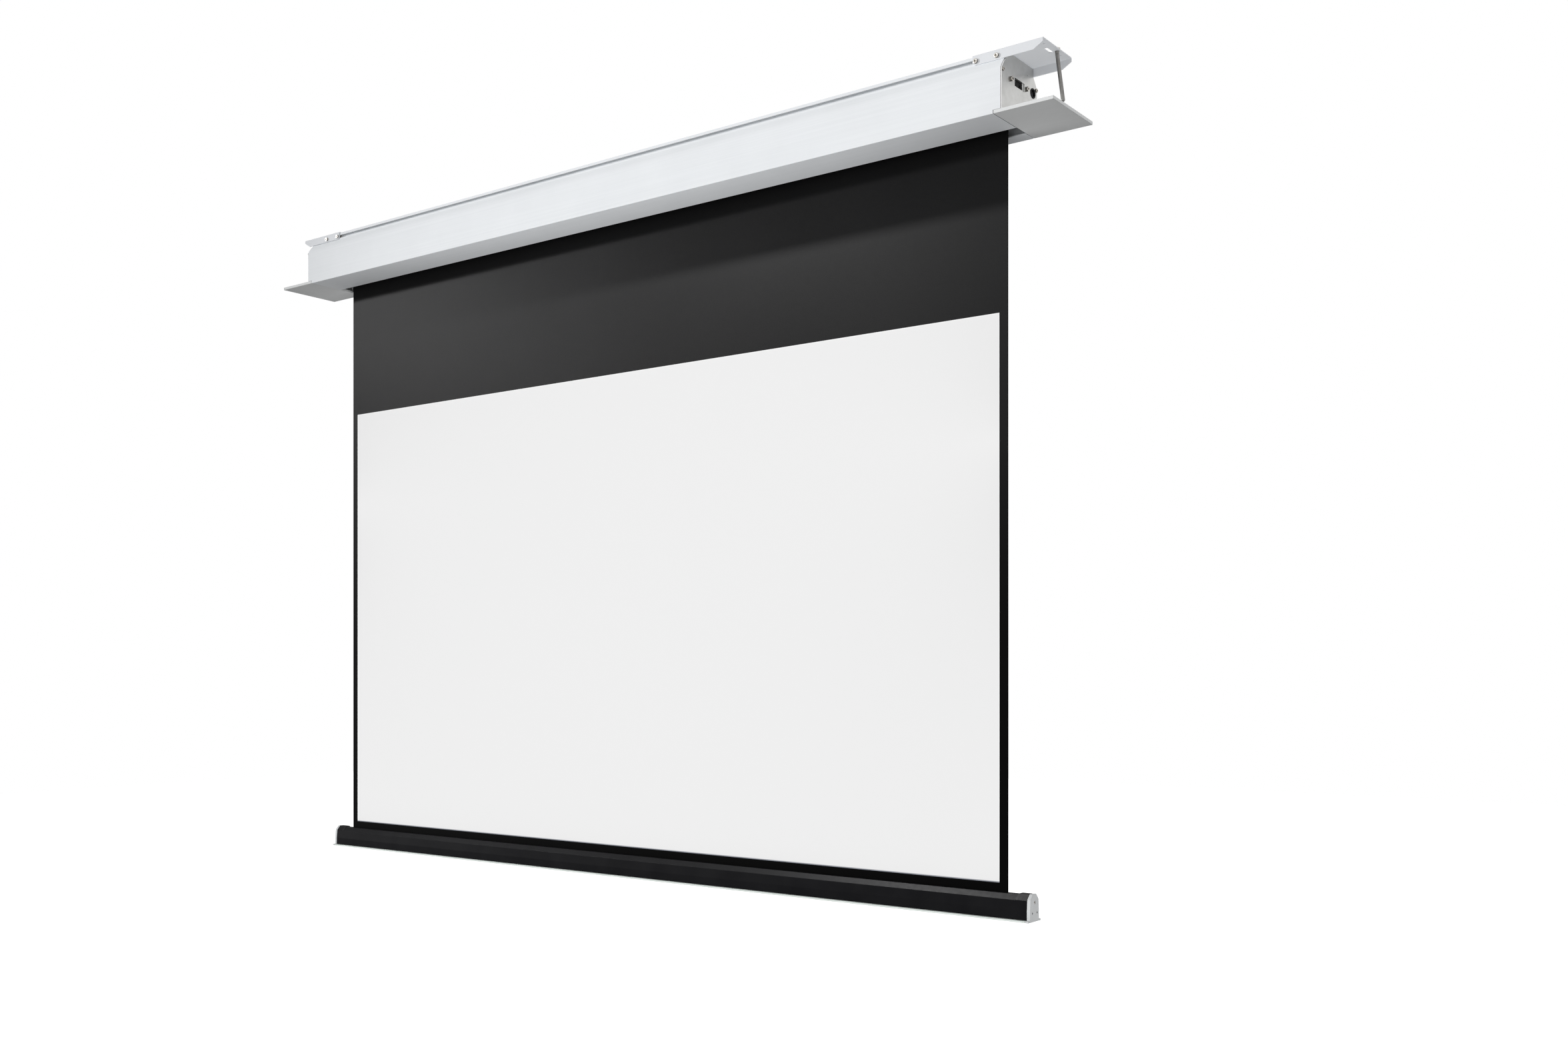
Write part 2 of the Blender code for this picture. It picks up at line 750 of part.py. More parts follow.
def make_nut_bars(side, end, inner_x):
    """The two nut bars behind the lips of the grooves, each with two screw holes."""
    first, last = bracket_screw_places(side, inner_x)
    middle = (first + last) / 2
    length = BRACKET_SCREW_SPACING + 2 * NUT_BAR_END
    height = GROOVE_MOUTH + 2 * GROOVE_UNDERCUT - 2 * NUT_BAR_PLAY
    outlines = [rectangle(0, 0, length, height)]
    outlines += [circle(x - middle, 0, BRACKET_SCREW_RADIUS + GAP) for x in (first, last)]
    mesh = outline_mesh(outlines, NUT_BAR_THICKNESS)
    depth = half_neck - WALL - GAP - NUT_BAR_THICKNESS / 2
    for row, name in ((-1, "front"), (1, "rear")):
        nut_bar = part(f"nut_bar_{end}_{name}", mesh, NICKEL)
        nut_bar.rotation_euler = (math.pi / 2, 0, 0)
        nut_bar.location = (middle, row * depth, groove_middle)


def make_bracket_screws(side, end, inner_x):
    """Four screws a bracket, two through each flange."""
    shank = GAP + BRACKET_SHEET + GAP + WALL + GAP + NUT_BAR_THICKNESS
    mesh = screw_mesh(
        BRACKET_SCREW_HEAD, BRACKET_SCREW_HEAD * LOW_HEAD, BRACKET_SCREW_RADIUS, shank
    )
    for row, name in ((-1, "front"), (1, "rear")):
        for number, x in enumerate(bracket_screw_places(side, inner_x), start=1):
            place = (x, row * (flange_outer + GAP), groove_middle)
            part(f"bracket_screw_{end}_{name}_{number}", mesh, NICKEL, place, row * ALONG_Y)


def make_stay_rod(bracket, outer_x):
    """The rod from the right bracket's web to just above the trim, and the nut that it hangs by."""
    top = Vector((outer_x - ROD_INSET, ROD_TOP_Y, web_top + ROD_STUB))
    neck = Vector((top.x, top.y, GAP - ROD_NECK))
    fall = neck.z - underside - TRIM_THICKNESS - ROD_CLEARANCE
    tilt = math.atan2(math.hypot(ROD_LEAN_X, ROD_LEAN_Y), fall)
    foot_z = underside + TRIM_THICKNESS + ROD_CLEARANCE + ROD_RADIUS * math.sin(tilt)
    foot = Vector((top.x + ROD_LEAN_X, top.y + ROD_LEAN_Y, foot_z))
    curve = bpy.data.curves.new("rod", "CURVE")
    curve.dimensions = "3D"
    curve.bevel_depth = ROD_RADIUS
    curve.bevel_resolution = ROD_BEVEL_STEPS
    curve.use_fill_caps = True
    spline = curve.splines.new("POLY")
    spline.points.add(2)
    for point, place in zip(spline.points, (top, neck, foot)):
        point.co = (*place, 1)
    rod = shade_round(mesh_of(bpy.data.objects.new("rod", curve)))
    part("stay_rod", rod, DARK_STEEL)
    hole = circle(0, 0, ROD_RADIUS + 2 * GAP)
    combine(bracket, web_hole("rod_hole", hole, top.x, top.y))
    nut = [circle(0, 0, ROD_NUT_RADIUS, HEX_STEPS), circle(0, 0, ROD_RADIUS + GAP)]
    nut_place = (top.x, top.y, web_top + GAP + ROD_NUT_HEIGHT / 2)
    part("stay_rod_nut", outline_mesh(nut, ROD_NUT_HEIGHT), NICKEL, nut_place)


fixing_inner = housing_end - FIXING_THICKNESS
head_outer = fixing_inner - GAP
rim_outer = tube_end + GAP + RIM_WIDTH
head_inner = rim_outer + HEAD_CLEARANCE


def on_axis(name, mesh, material, side=1, x=0.0):
    """A turned piece on the roller's axis."""
    return part(name, mesh, material, (x, roller_y, roller_z), side * ALONG_X)


def make_roller():
    """The tube and the turns of cloth that stay on it."""
    on_axis("roller_tube", ring_mesh(tube_bore, ROLLER_RADIUS, 2 * tube_end), ALUMINIUM)
    turns = ring_mesh(ROLLER_RADIUS + GAP, wound_radius, 2 * half_cloth)
    on_axis("wound_cloth", turns, BLACK_CLOTH)


def tube_plug_mesh(bore, length):
    """A rimmed plug in the end of the tube, with a straight bore."""
    fit = tube_bore - GAP
    inner = tube_end - length
    profile = [
        (ROLLER_RADIUS, rim_outer),
        (ROLLER_RADIUS, tube_end + GAP),
        (fit, tube_end + GAP),
        (fit, inner),
        (bore, inner),
        (bore, rim_outer),
    ]
    return turned_mesh(profile, ROUND_STEPS, closed=True)


def fixing_outline():
    """The edge of the plate that carries the motor's head or the idler's pin."""
    width = HEAD_SCREW_SPACING + 2 * FIXING_END
    return rectangle(fixing_y + HEAD_SCREW_SHIFT, fixing_z, width, FIXING_HEIGHT)


def make_motor():
    """The motor in the tube's right end, its head, and the ring and wheel that turn the tube."""
    screw_holes = [circle(*place, HEAD_SCREW_RADIUS + GAP) for place in fixing_places()]
    width = WINDOW_WIDTH - FIXING_WINDOW_STEP
    window = rectangle(fixing_y - FIXING_WINDOW_STEP / 2, fixing_z, width, WINDOW_HEIGHT)
    outlines = [fixing_outline(), *screw_holes, window]
    profile_part("motor_bracket", outlines, fixing_inner, housing_end, BARE_STEEL)

    head = on_axis(
        "motor_head",
        rod_mesh(HEAD_RADIUS, head_outer - head_inner, ROUND_STEPS),
        BLACK_PLASTIC,
        x=(head_outer + head_inner) / 2,
    )
    screw = screw_mesh(
        LIMIT_SCREW_RADIUS,
        LIMIT_SCREW_LENGTH,
        LIMIT_SCREW_RADIUS * SLIM_SHANK,
        LIMIT_SCREW_RADIUS,
    )
    pocket = LIMIT_SCREW_LENGTH + LIMIT_SCREW_RADIUS + 2 * GAP
    for row, name in ((-1, "lower"), (1, "upper")):
        y = fixing_y + row * LIMIT_SCREW_SPACING / 2
        hole = tool(
            f"limit_hole_{name}",
            rod_mesh(LIMIT_SCREW_RADIUS + GAP, 2 * pocket),
            (head_outer, y, fixing_z),
            ALONG_X,
        )
        combine(head, hole)
        x = head_outer - GAP - LIMIT_SCREW_LENGTH
        part(f"{name}_limit_screw", screw, BLACK_PLASTIC, (x, y, fixing_z), ALONG_X)

    motor_left = tube_end - MOTOR_LENGTH
    shaft_end = motor_left - GAP - DRIVE_WHEEL_WIDTH
    profile = [
        (0, head_inner - GAP),
        (MOTOR_RADIUS, head_inner - GAP),
        (MOTOR_RADIUS, motor_left),
        (MOTOR_SHAFT_RADIUS, motor_left),
        (MOTOR_SHAFT_RADIUS, shaft_end),
        (0, shaft_end),
    ]
    on_axis("motor_body", turned_mesh(profile, ROUND_STEPS), DARK_STEEL)
    on_axis("motor_crown", tube_plug_mesh(MOTOR_RADIUS + GAP, CROWN_WIDTH), BLACK_PLASTIC)
    wheel = ring_mesh(MOTOR_SHAFT_RADIUS + GAP, tube_bore - GAP, DRIVE_WHEEL_WIDTH)
    wheel_x = motor_left - GAP - DRIVE_WHEEL_WIDTH / 2
    on_axis("drive_wheel", wheel, BLACK_PLASTIC, x=wheel_x)


def make_idler():
    """The tube's left end: plug, ball bearing, fixed pin and the plate that holds the pin."""
    screw_holes = [circle(*place, HEAD_SCREW_RADIUS + GAP) for place in fixing_places()]
    pin_hole = circle(roller_y, roller_z, IDLER_PIN_RADIUS + GAP, ROUND_STEPS)
    outlines = [fixing_outline(), *screw_holes, pin_hole]
    profile_part("idler_bracket", outlines, -housing_end, -fixing_inner, BARE_STEEL)

    bearing_outer = tube_end - BEARING_WIDTH
    pin_inner = bearing_outer - 2 * BEARING_WIDTH
    collar = fixing_inner - GAP
    profile = [
        (0, housing_end),
        (IDLER_PIN_RADIUS, housing_end),
        (IDLER_PIN_RADIUS, collar),
        (IDLER_COLLAR_RADIUS, collar),
        (IDLER_COLLAR_RADIUS, collar - RIM_WIDTH),
        (IDLER_PIN_RADIUS, collar - RIM_WIDTH),
        (IDLER_PIN_RADIUS, pin_inner),
        (0, pin_inner),
    ]
    on_axis("idler_pin", turned_mesh(profile, ROUND_STEPS), NICKEL, side=-1)
    plug = tube_plug_mesh(BEARING_RADIUS + GAP, PLUG_LENGTH)
    on_axis("idler_plug", plug, BLACK_PLASTIC, side=-1)
    bearing = ring_mesh(IDLER_PIN_RADIUS + GAP, BEARING_RADIUS, BEARING_WIDTH)
    bearing_x = -(bearing_outer - BEARING_WIDTH / 2)
    on_axis("idler_bearing", bearing, NICKEL, x=bearing_x)


def make_cloth():
    """The hanging cloth, from the roller's rear down into the bar, and its white image layer."""
    front = cloth_y - CLOTH_THICKNESS / 2
    mesh, middle = box_between(
        (-half_cloth, front, bar_top - BAR_WALL),
        (half_cloth, front + CLOTH_THICKNESS, roller_z),
    )
    part("screen_cloth", mesh, BLACK_CLOTH, middle)
    mesh, middle = box_between(
        (-IMAGE_WIDTH / 2, front - GAP - IMAGE_LAYER, image_bottom),
        (IMAGE_WIDTH / 2, front - GAP, image_top),
    )
    part("image_surface", mesh, WHITE_IMAGE, middle)


def at_bar(points):
    """Move (y, z) points from the bar's own middle and top to their place."""
    return [(cloth_y + across, bar_top + up) for across, up in points]


half_bar = BAR_DEPTH / 2
half_top = BAR_TOP_WIDTH / 2
half_crease = BAR_CREASE_WIDTH / 2
flare_drop = BAR_FACET_DROP + BAR_FLARE_DROP


def bar_outline():
    """The bar's cross-section: a hollow, open below, with the keder's chamber at the top."""
    half_slit = SLIT_WIDTH / 2
    chamber = KEDER_RADIUS + KEDER_PLAY
    chamber_foot = BAR_WALL + 2 * chamber
    shell = [
        (-half_slit, 0),
        (-half_top, 0),
        (-half_crease, -BAR_FACET_DROP),
        (-half_bar, -flare_drop),
        (-half_bar, -BAR_HEIGHT),
    ]
    corners = zip(shell, shell[1:], shell[2:])
    lining = [offset_corner(*corner, BAR_WALL) for corner in corners]
    web = [
        (-chamber - BAR_WALL, -BAR_WALL),
        (-chamber - BAR_WALL, -chamber_foot - BAR_WALL),
    ]
    front = shell + [(-half_bar + BAR_WALL, -BAR_HEIGHT)] + lining[::-1] + web
    inside = [
        (half_slit, -BAR_WALL),
        (chamber, -BAR_WALL),
        (chamber, -chamber_foot),
    ]
    return at_bar(front + mirrored(front) + inside + mirrored(inside))


def strip_outline():
    """The bottom strip's cross-section: a flat sole with two ribs inside the bar."""
    rib_outer = half_bar - BAR_WALL - GAP
    sole = -BAR_HEIGHT - GAP
    rib_top = -BAR_HEIGHT + STRIP_RIB_HEIGHT
    front = [
        (-rib_outer + STRIP_RIB_THICKNESS, sole),
        (-rib_outer + STRIP_RIB_THICKNESS, rib_top),
        (-rib_outer, rib_top),
        (-rib_outer, sole),
        (-STRIP_DEPTH / 2, sole),
        (-STRIP_DEPTH / 2, sole - STRIP_THICKNESS),
    ]
    return at_bar(front + mirrored(front))


def hood_outline():
    """The raised hood over the bar's top and facets at each end."""
    run = half_crease - half_top
    lift = GAP * math.hypot(run, BAR_FACET_DROP) / run
    under = [(-half_crease, lift - BAR_FACET_DROP), (-half_top, lift)]
    over = [(-half_top, HOOD_RAISE), (-half_crease, HOOD_RAISE - BAR_FACET_DROP)]
    return at_bar(under + mirrored(under) + mirrored(over) + over)


def cap_outline():
    """An end cap's outline: the bar's with its hood, and the strip's foot."""
    sole = -BAR_HEIGHT - GAP - STRIP_THICKNESS
    front = [
        (-half_top, HOOD_RAISE),
        (-half_crease, HOOD_RAISE - BAR_FACET_DROP),
        (-half_bar, -flare_drop),
        (-half_bar, -BAR_HEIGHT),
        (-STRIP_DEPTH / 2, -BAR_HEIGHT),
        (-STRIP_DEPTH / 2, sole),
    ]
    return at_bar(front + mirrored(front))


def make_bar():
    """The weight bar without its ends."""
    profile_part("bar_extrusion", [bar_outline()], -bar_end, bar_end, BLACK_PAINT)
    profile_part("bar_bottom_strip", [strip_outline()], -bar_end, bar_end, PALE_PLASTIC)
    ballast_end = bar_end - BALLAST_SETBACK
    mesh, middle = box_between(
        (-ballast_end, cloth_y - BALLAST_WIDTH / 2, bar_foot),
        (ballast_end, cloth_y + BALLAST_WIDTH / 2, bar_foot + BALLAST_HEIGHT),
    )
    part("bar_ballast", mesh, DARK_STEEL, middle)
    keder = rod_mesh(KEDER_RADIUS, 2 * half_cloth)
    part("bar_keder", keder, BLACK_PLASTIC, (0, cloth_y, bar_top - keder_drop), ALONG_X)


def cap_screws():
    """The name, place, head radius and finish of each screw in an end cap."""
    reach = CAP_LOW_SCREW_SPACING / 2
    top_z = bar_top - CAP_TOP_SCREW_DROP
    low_z = bar_top - CAP_LOW_SCREW_DROP
    return [
        ("top", (cloth_y, top_z), CAP_TOP_SCREW_HEAD, NICKEL),
        ("front", (cloth_y - reach, low_z), CAP_LOW_SCREW_HEAD, DARK_STEEL),
        ("rear", (cloth_y + reach, low_z), CAP_LOW_SCREW_HEAD, DARK_STEEL),
    ]


def make_bar_end(side, end):
    """A hood, an end cap and the cap's three sunken screws."""
    near, far = span(side, bar_end - HOOD_LENGTH, bar_end)
    profile_part(f"bar_hood_{end}", [hood_outline()], near, far, BLACK_PAINT)
    inner = bar_end + GAP
    outer = inner + CAP_THICKNESS
    cap = profile_part(f"bar_cap_{end}", [cap_outline()], *span(side, inner, outer), PALE_PLASTIC)
    edge = cap.modifiers.new("edge", "BEVEL")
    edge.width = CAP_EDGE
    edge.segments = 1
    edge.limit_method = "ANGLE"
    for name, place, head, finish in cap_screws():
        head_height = head * SUNK_HEAD
        seat = outer - CAP_SCREW_RECESS - head_height
        shank = head * SLIM_SHANK
        profile = [
            (0, outer + CUT_MARGIN),
            (head + GAP, outer + CUT_MARGIN),
            (head + GAP, seat - GAP),
            (shank + GAP, seat - GAP),
            (shank + GAP, inner - CUT_MARGIN),
            (0, inner - CUT_MARGIN),
        ]
        hole_mesh = turned_mesh(profile, SMALL_STEPS)
        hole = tool(f"cap_hole_{end}_{name}", hole_mesh, (0, *place), side * ALONG_X)
        combine(cap, hole)
        screw = screw_mesh(head, head_height, shank, CAP_SCREW_LENGTH - head_height)
        part(f"bar_cap_screw_{end}_{name}", screw, finish, (side * seat, *place), side * ALONG_X)


make_housing()
make_end_plates()
make_grommet()
make_plate_screws()
make_trim_plate(1, "right")
make_trim_plate(-1, "left")
right_bracket, right_bracket_end = make_bracket(1, "right", BRACKET_REACH_RIGHT)
make_bracket(-1, "left", BRACKET_REACH_LEFT)
make_stay_rod(right_bracket, right_bracket_end)
make_roller()
make_motor()
make_idler()
make_cloth()
make_bar()
make_bar_end(1, "right")
make_bar_end(-1, "left")
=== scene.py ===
"""Looks for the lowered projector screen.

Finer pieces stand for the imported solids, with materials, light, floor and camera.
"""

import json
import math

import bmesh
import bpy
from mathutils import Matrix, Vector

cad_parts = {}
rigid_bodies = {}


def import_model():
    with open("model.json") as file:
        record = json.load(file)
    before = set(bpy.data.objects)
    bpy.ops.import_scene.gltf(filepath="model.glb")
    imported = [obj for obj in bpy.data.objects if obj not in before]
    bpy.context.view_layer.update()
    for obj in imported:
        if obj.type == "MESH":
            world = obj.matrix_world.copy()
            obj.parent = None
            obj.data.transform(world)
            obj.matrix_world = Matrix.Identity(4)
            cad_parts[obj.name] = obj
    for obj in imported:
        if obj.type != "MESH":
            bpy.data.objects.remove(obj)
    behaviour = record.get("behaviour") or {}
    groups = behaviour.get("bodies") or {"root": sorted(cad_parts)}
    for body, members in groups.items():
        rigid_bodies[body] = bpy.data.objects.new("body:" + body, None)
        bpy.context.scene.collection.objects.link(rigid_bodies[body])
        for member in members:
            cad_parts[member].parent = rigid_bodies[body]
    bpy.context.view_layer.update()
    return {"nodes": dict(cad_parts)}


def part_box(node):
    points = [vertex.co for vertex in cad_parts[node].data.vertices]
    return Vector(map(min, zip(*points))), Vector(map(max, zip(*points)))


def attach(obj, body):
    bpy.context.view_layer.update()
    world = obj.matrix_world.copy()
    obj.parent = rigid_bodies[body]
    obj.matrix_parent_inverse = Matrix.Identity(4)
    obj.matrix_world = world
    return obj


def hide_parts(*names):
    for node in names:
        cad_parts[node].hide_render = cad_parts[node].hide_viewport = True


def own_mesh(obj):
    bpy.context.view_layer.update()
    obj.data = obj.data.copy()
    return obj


for item in list(bpy.data.objects):
    bpy.data.objects.remove(item)

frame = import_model()

PIECES = bpy.data.collections.new("pieces")
MAKING = bpy.data.collections.new("making")
for group in (PIECES, MAKING):
    bpy.context.scene.collection.children.link(group)

# Sizes are in metres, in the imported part's frame: X along the screen, Y to the back, Z up.

# Clearance between pieces that touch in the real object
GAP = 0.0003

# Softened edges: ends of extrusions, plates, and sheet or plastic
CUT_EDGE = 0.0002
PLATE_EDGE = 0.00025
SHEET_EDGE = 0.0003

# Housing profile, with z = 0 at the neck's top
HALF_BODY = 0.082
HALF_NECK = 0.0645
CREASE = -0.041
NECK_FOOT = -0.019
GROOVE_TOP = -0.007
GROOVE_BOTTOM = -0.015
UNDERCUT = 0.0025
GROOVE_BACK = 0.009
UNDERSIDE = -0.137
WALL = 0.003
SLOT_FRONT = 0.022
SLOT_REAR = 0.067
UPTURN = 0.010
REAR_FLANGE = 0.022
CREASE_RADIUS = 0.025
SEAM = 1.160
HOUSING_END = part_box("housing_extrusion")[1].x

# End plates
PLATE_INNER, PLATE_OUTER = (corner.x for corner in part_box("end_plate_right"))
PLATE_INSET = 0.0025
PLATE_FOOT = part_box("end_plate_right")[0].z
FIXING_Y = 0.00015
FIXING_Z = -0.056
# Width, height and corner radius
WINDOW = (0.045, 0.018, 0.0008)
# Y, Z and radius
CABLE_HOLE = (0.060, -0.056, 0.010)
PILOT_HOLE = (0.037, -0.025, 0.0015)
GROMMET_WALL = 0.0022
GROMMET_RIM = 0.0010

# Trim boards
TRIM = 0.0075
TRIM_EDGE = 0.0010
TRIM_GAP = 0.0014
TRIM_JOINT = 0.0010
TRIM_JOINT_DEPTH = 0.0006
TRIM_JOINT_SHARES = (0.16, 0.87)

# Brackets, with their holes measured from the outer end
SHEET = 0.0025
WEB_TOP = GAP + SHEET
FLANGE_FOOT = NECK_FOOT + GAP
FLANGE_OUTER = HALF_NECK + GAP + SHEET
SLOT_X = 0.0205
SLOT_REACH = 0.0105
SLOT_RADIUS = 0.0045
SMALL_HOLE_X = 0.012
SMALL_HOLE_Y = 0.038
SMALL_HOLE_RADIUS = 0.0019
# Length and height of the corners that are cut off
OUTER_CHAMFER = (0.022, 0.0125)
INNER_CHAMFER = (0.005, 0.005)

# Stay rod
ROD_X, ROD_Y = 1.2605, 0.014
ROD_HOLE_RADIUS = 0.0048
ROD_TOP = Vector((ROD_X, ROD_Y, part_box("stay_rod")[1].z))
ROD_NECK = Vector((ROD_X, ROD_Y, -0.0027))
ROD_FOOT = Vector((1.285, -0.0067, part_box("stay_rod")[0].z + 0.0046))
ROD_RADIUS = 0.0042
ROD_STEP = 0.004
FOOT_RADIUS = 0.0035
THREAD_LENGTH = 0.014
THREAD_PITCH = 0.00125
THREAD_DEPTH = 0.0006
THREAD_START = 0.0012
NUT_RADIUS = 0.0075

# Screws: head radius, head height, shank radius
PLATE_SCREW = (0.0042, 0.00294, 0.0021)
FIXING_SCREW = (0.0052, 0.0052, 0.003)
BRACKET_SCREW = (0.0052, 0.00364, 0.003)
CAP_SCREW = (0.0022, 0.0011, 0.0011)
CAP_TOP_SCREW = (0.0034, 0.0017, 0.0017)

# Roller
ROLLER_Y = 0.00415
ROLLER_Z = -0.065
ROLLER_RADIUS = 0.040
TURNS = 2
TURN_STEPS = 72
TURN_PITCH = 0.0005
TURN_THICKNESS = 0.0004

# Cloth and image
CLOTH_Y = 0.046
CLOTH = 0.0005
HALF_CLOTH = 1.1285
CLOTH_WAVE = 0.0003
CLOTH_COLUMNS = 72
CLOTH_ROWS = 56
IMAGE_ROWS = 42
IMAGE_LOW, IMAGE_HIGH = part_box("image_surface")
CLOTH_LOW, CLOTH_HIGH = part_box("screen_cloth")

# Weight bar
BAR_TOP = -1.7875
BAR_END = 1.183
BAR_HEIGHT = 0.053
HALF_BAR = 0.0205
HALF_TOP = 0.008
HALF_CREASE = 0.0185
FACET_DROP = 0.0115
FLARE_DROP = 0.0335
BAR_WALL = 0.002
KEDER_SLIT = 0.0011
STRIP_HALF = 0.029
STRIP = 0.004
HOOD_RAISE = 0.0025
HOOD_LENGTH = 0.029
HOOD_RAMP = 0.007
HOOD_LIFT = 0.0004
HOOD_SHEET = 0.0003
CAP = 0.009
CAP_EDGE = 0.0014
CAP_JOINT = 0.0003
CAP_JOINT_DEPTH = 0.0002

# Meshes: sides of turned pieces, least angle of a sharp edge, half angle of a corner that
# counts as straight, most of a side that its rounding takes, distance of points to join
ROUND = 48
SCREW_ROUND = 24
SHARP = math.radians(32)
STRAIGHT = math.radians(88)
CORNER_SHARE = 0.45
JOIN = 0.000008

# Camera, fitted to the photograph
LENS = 34.47
LENS_SHIFT = 0.0931
CAMERA_PLACE = (2.686, -2.866, -1.2995)
CAMERA_TURN = math.radians(36.64)

# Suns: where the light comes from, strength, apparent size in degrees
KEY = ((-0.757, -0.570, 0.155), 1.83, 4)
FILL = ((0.0, -1.0, -0.05), 0.42, 40)
SIDE = ((0.395, 0.869, 0.292), 1.6, 10)
# Softboxes below the housing and the right bracket: place, size, power
UNDER = ((0.17, -0.20, -0.62), (1.7, 0.3), 1.25)
UNDER_HANGER = ((1.24, -0.05, -0.6), (0.2, 0.2), 0.9)
# Lamps that show only as gloss: place, power
KEY_SHEEN = ((-2.53, -1.39, 0.256), 760)
TOP_SHEEN = ((-0.545, -0.80, 0.746), 1560)
SHEEN_RADIUS = 0.06

# World, and a floor that lies below the camera of every view
AMBIENT = 0.55
FLOOR_Z = -6.5
FLOOR_HALF = 60
FLOOR_SHADES = (0.72, 0.74)
FLOOR_GLOW = 0.7

# Black cards: lowest and highest corner
FLAGS = {
    "flag_right": ((1.20, -0.40, -0.805), (2.60, 1.60, -0.80)),
    "flag_left": ((-2.60, -0.35, -0.805), (-1.20, 1.60, -0.80)),
    "flag_side": ((-1.345, -0.65, -0.30), (-1.34, -0.02, 0.50)),
}


# -------- meshes


def evaluated(maker):
    """The finished mesh of a temporary object, which is then removed."""
    if maker.name not in MAKING.objects:
        MAKING.objects.link(maker)
    bpy.context.view_layer.update()
    graph = bpy.context.evaluated_depsgraph_get()
    made = bpy.data.meshes.new_from_object(maker.evaluated_get(graph))
    bpy.data.objects.remove(maker)
    work = bmesh.new()
    work.from_mesh(made)
    bmesh.ops.remove_doubles(work, verts=work.verts, dist=JOIN)
    bmesh.ops.recalc_face_normals(work, faces=work.faces)
    work.to_mesh(made)
    work.free()
    return made


def rounded(points, steps=5):
    """An outline of (across, up, radius) points with its corners rounded."""
    outline = []
    count = len(points)
    for index, (across, up, radius) in enumerate(points):
        corner = Vector((across, up))
        before = Vector(points[index - 1][:2]) - corner
        after = Vector(points[(index + 1) % count][:2]) - corner
        reach = CORNER_SHARE * min(before.length, after.length)
        before.normalize()
        after.normalize()
        half = before.angle(after) / 2
        if not radius or half > STRAIGHT:
            outline.append(tuple(corner))
            continue
        touch = min(radius / math.tan(half), reach)
        radius = touch * math.tan(half)
        centre = corner + (before + after).normalized() * radius / math.sin(half)
        start = (corner + before * touch - centre).normalized()
        stop = (corner + after * touch - centre).normalized()
        for step in range(steps + 1):
            outline.append(tuple(centre + start.slerp(stop, step / steps) * radius))
    return outline


def mirrored(points):
    """The same points on the other side of the middle, in reverse order."""
    return [(-point[0], *point[1:]) for point in reversed(points)]


def circle(across, up, radius, steps):
    """Points of a circle."""
    turns = [2 * math.pi * step / steps for step in range(steps)]
    return [(across + radius * math.cos(turn), up + radius * math.sin(turn)) for turn in turns]


def rectangle(across, up, width, height, radius):
    """A hole with rounded corners."""
    left, right = across - width / 2, across + width / 2
    low, high = up - height / 2, up + height / 2
    corners = ((left, low), (right, low), (right, high), (left, high))
    return rounded([(*corner, radius) for corner in corners])


def plate_mesh(outlines, thickness, edge):
    """A flat plate about z = 0 with softened edges. Outlines after the first are holes."""
    curve = bpy.data.curves.new("outline", "CURVE")
    curve.dimensions = "2D"
    curve.fill_mode = "BOTH"
    curve.extrude = thickness / 2 - edge
    curve.bevel_depth = edge
    curve.bevel_resolution = 1
    curve.offset = -edge
    for outline in outlines:
        spline = curve.splines.new("POLY")
        spline.points.add(len(outline) - 1)
        for point, (across, up) in zip(spline.points, outline):
            point.co = (across, up, 0, 1)
        spline.use_cyclic_u = True
    return evaluated(bpy.data.objects.new("outline", curve))


ALONG_X = Matrix(((0, 0, 1, 0), (1, 0, 0, 0), (0, 1, 0, 0), (0, 0, 0, 1)))
ALONG_Y = Matrix(((1, 0, 0, 0), (0, 0, -1, 0), (0, 1, 0, 0), (0, 0, 0, 1)))


def profile_mesh(outlines, start, end, edge):
    """A piece with one (y, z) cross-section all along X."""
    start, end = sorted((start, end))
    mesh = plate_mesh(outlines, end - start, edge)
    mesh.transform(Matrix.Translation(((start + end) / 2, 0, 0)) @ ALONG_X)
    return mesh


def loft_mesh(sections):
    """A closed skin over (x, outline) sections with equal counts of (y, z) points."""
    work = bmesh.new()
    rings = [[work.verts.new((x, *point)) for point in outline] for x, outline in sections]
    for first, second in zip(rings, rings[1:]):
        for index in range(len(first)):
            work.faces.new((first[index - 1], first[index], second[index], second[index - 1]))
    work.faces.new(rings[0][::-1])
    work.faces.new(rings[-1])
    return finished(work)


def finished(work):
    """The mesh of a bmesh, with its faces turned outwards."""
    bmesh.ops.recalc_face_normals(work, faces=work.faces)
    mesh = bpy.data.meshes.new("mesh")
    work.to_mesh(mesh)
    work.free()
    return mesh


def box_mesh(low, high, edge=0.0):
    """A box between two corners, its edges rounded."""
    low, high = Vector(low), Vector(high)
    work = bmesh.new()
    bmesh.ops.create_cube(work, size=1)
    bmesh.ops.scale(work, vec=high - low, verts=work.verts)
    bmesh.ops.translate(work, vec=(low + high) / 2, verts=work.verts)
    if edge:
        bmesh.ops.bevel(
            work, geom=work.edges, offset=edge, segments=3, profile=0.5, affect="EDGES"
        )
    return finished(work)


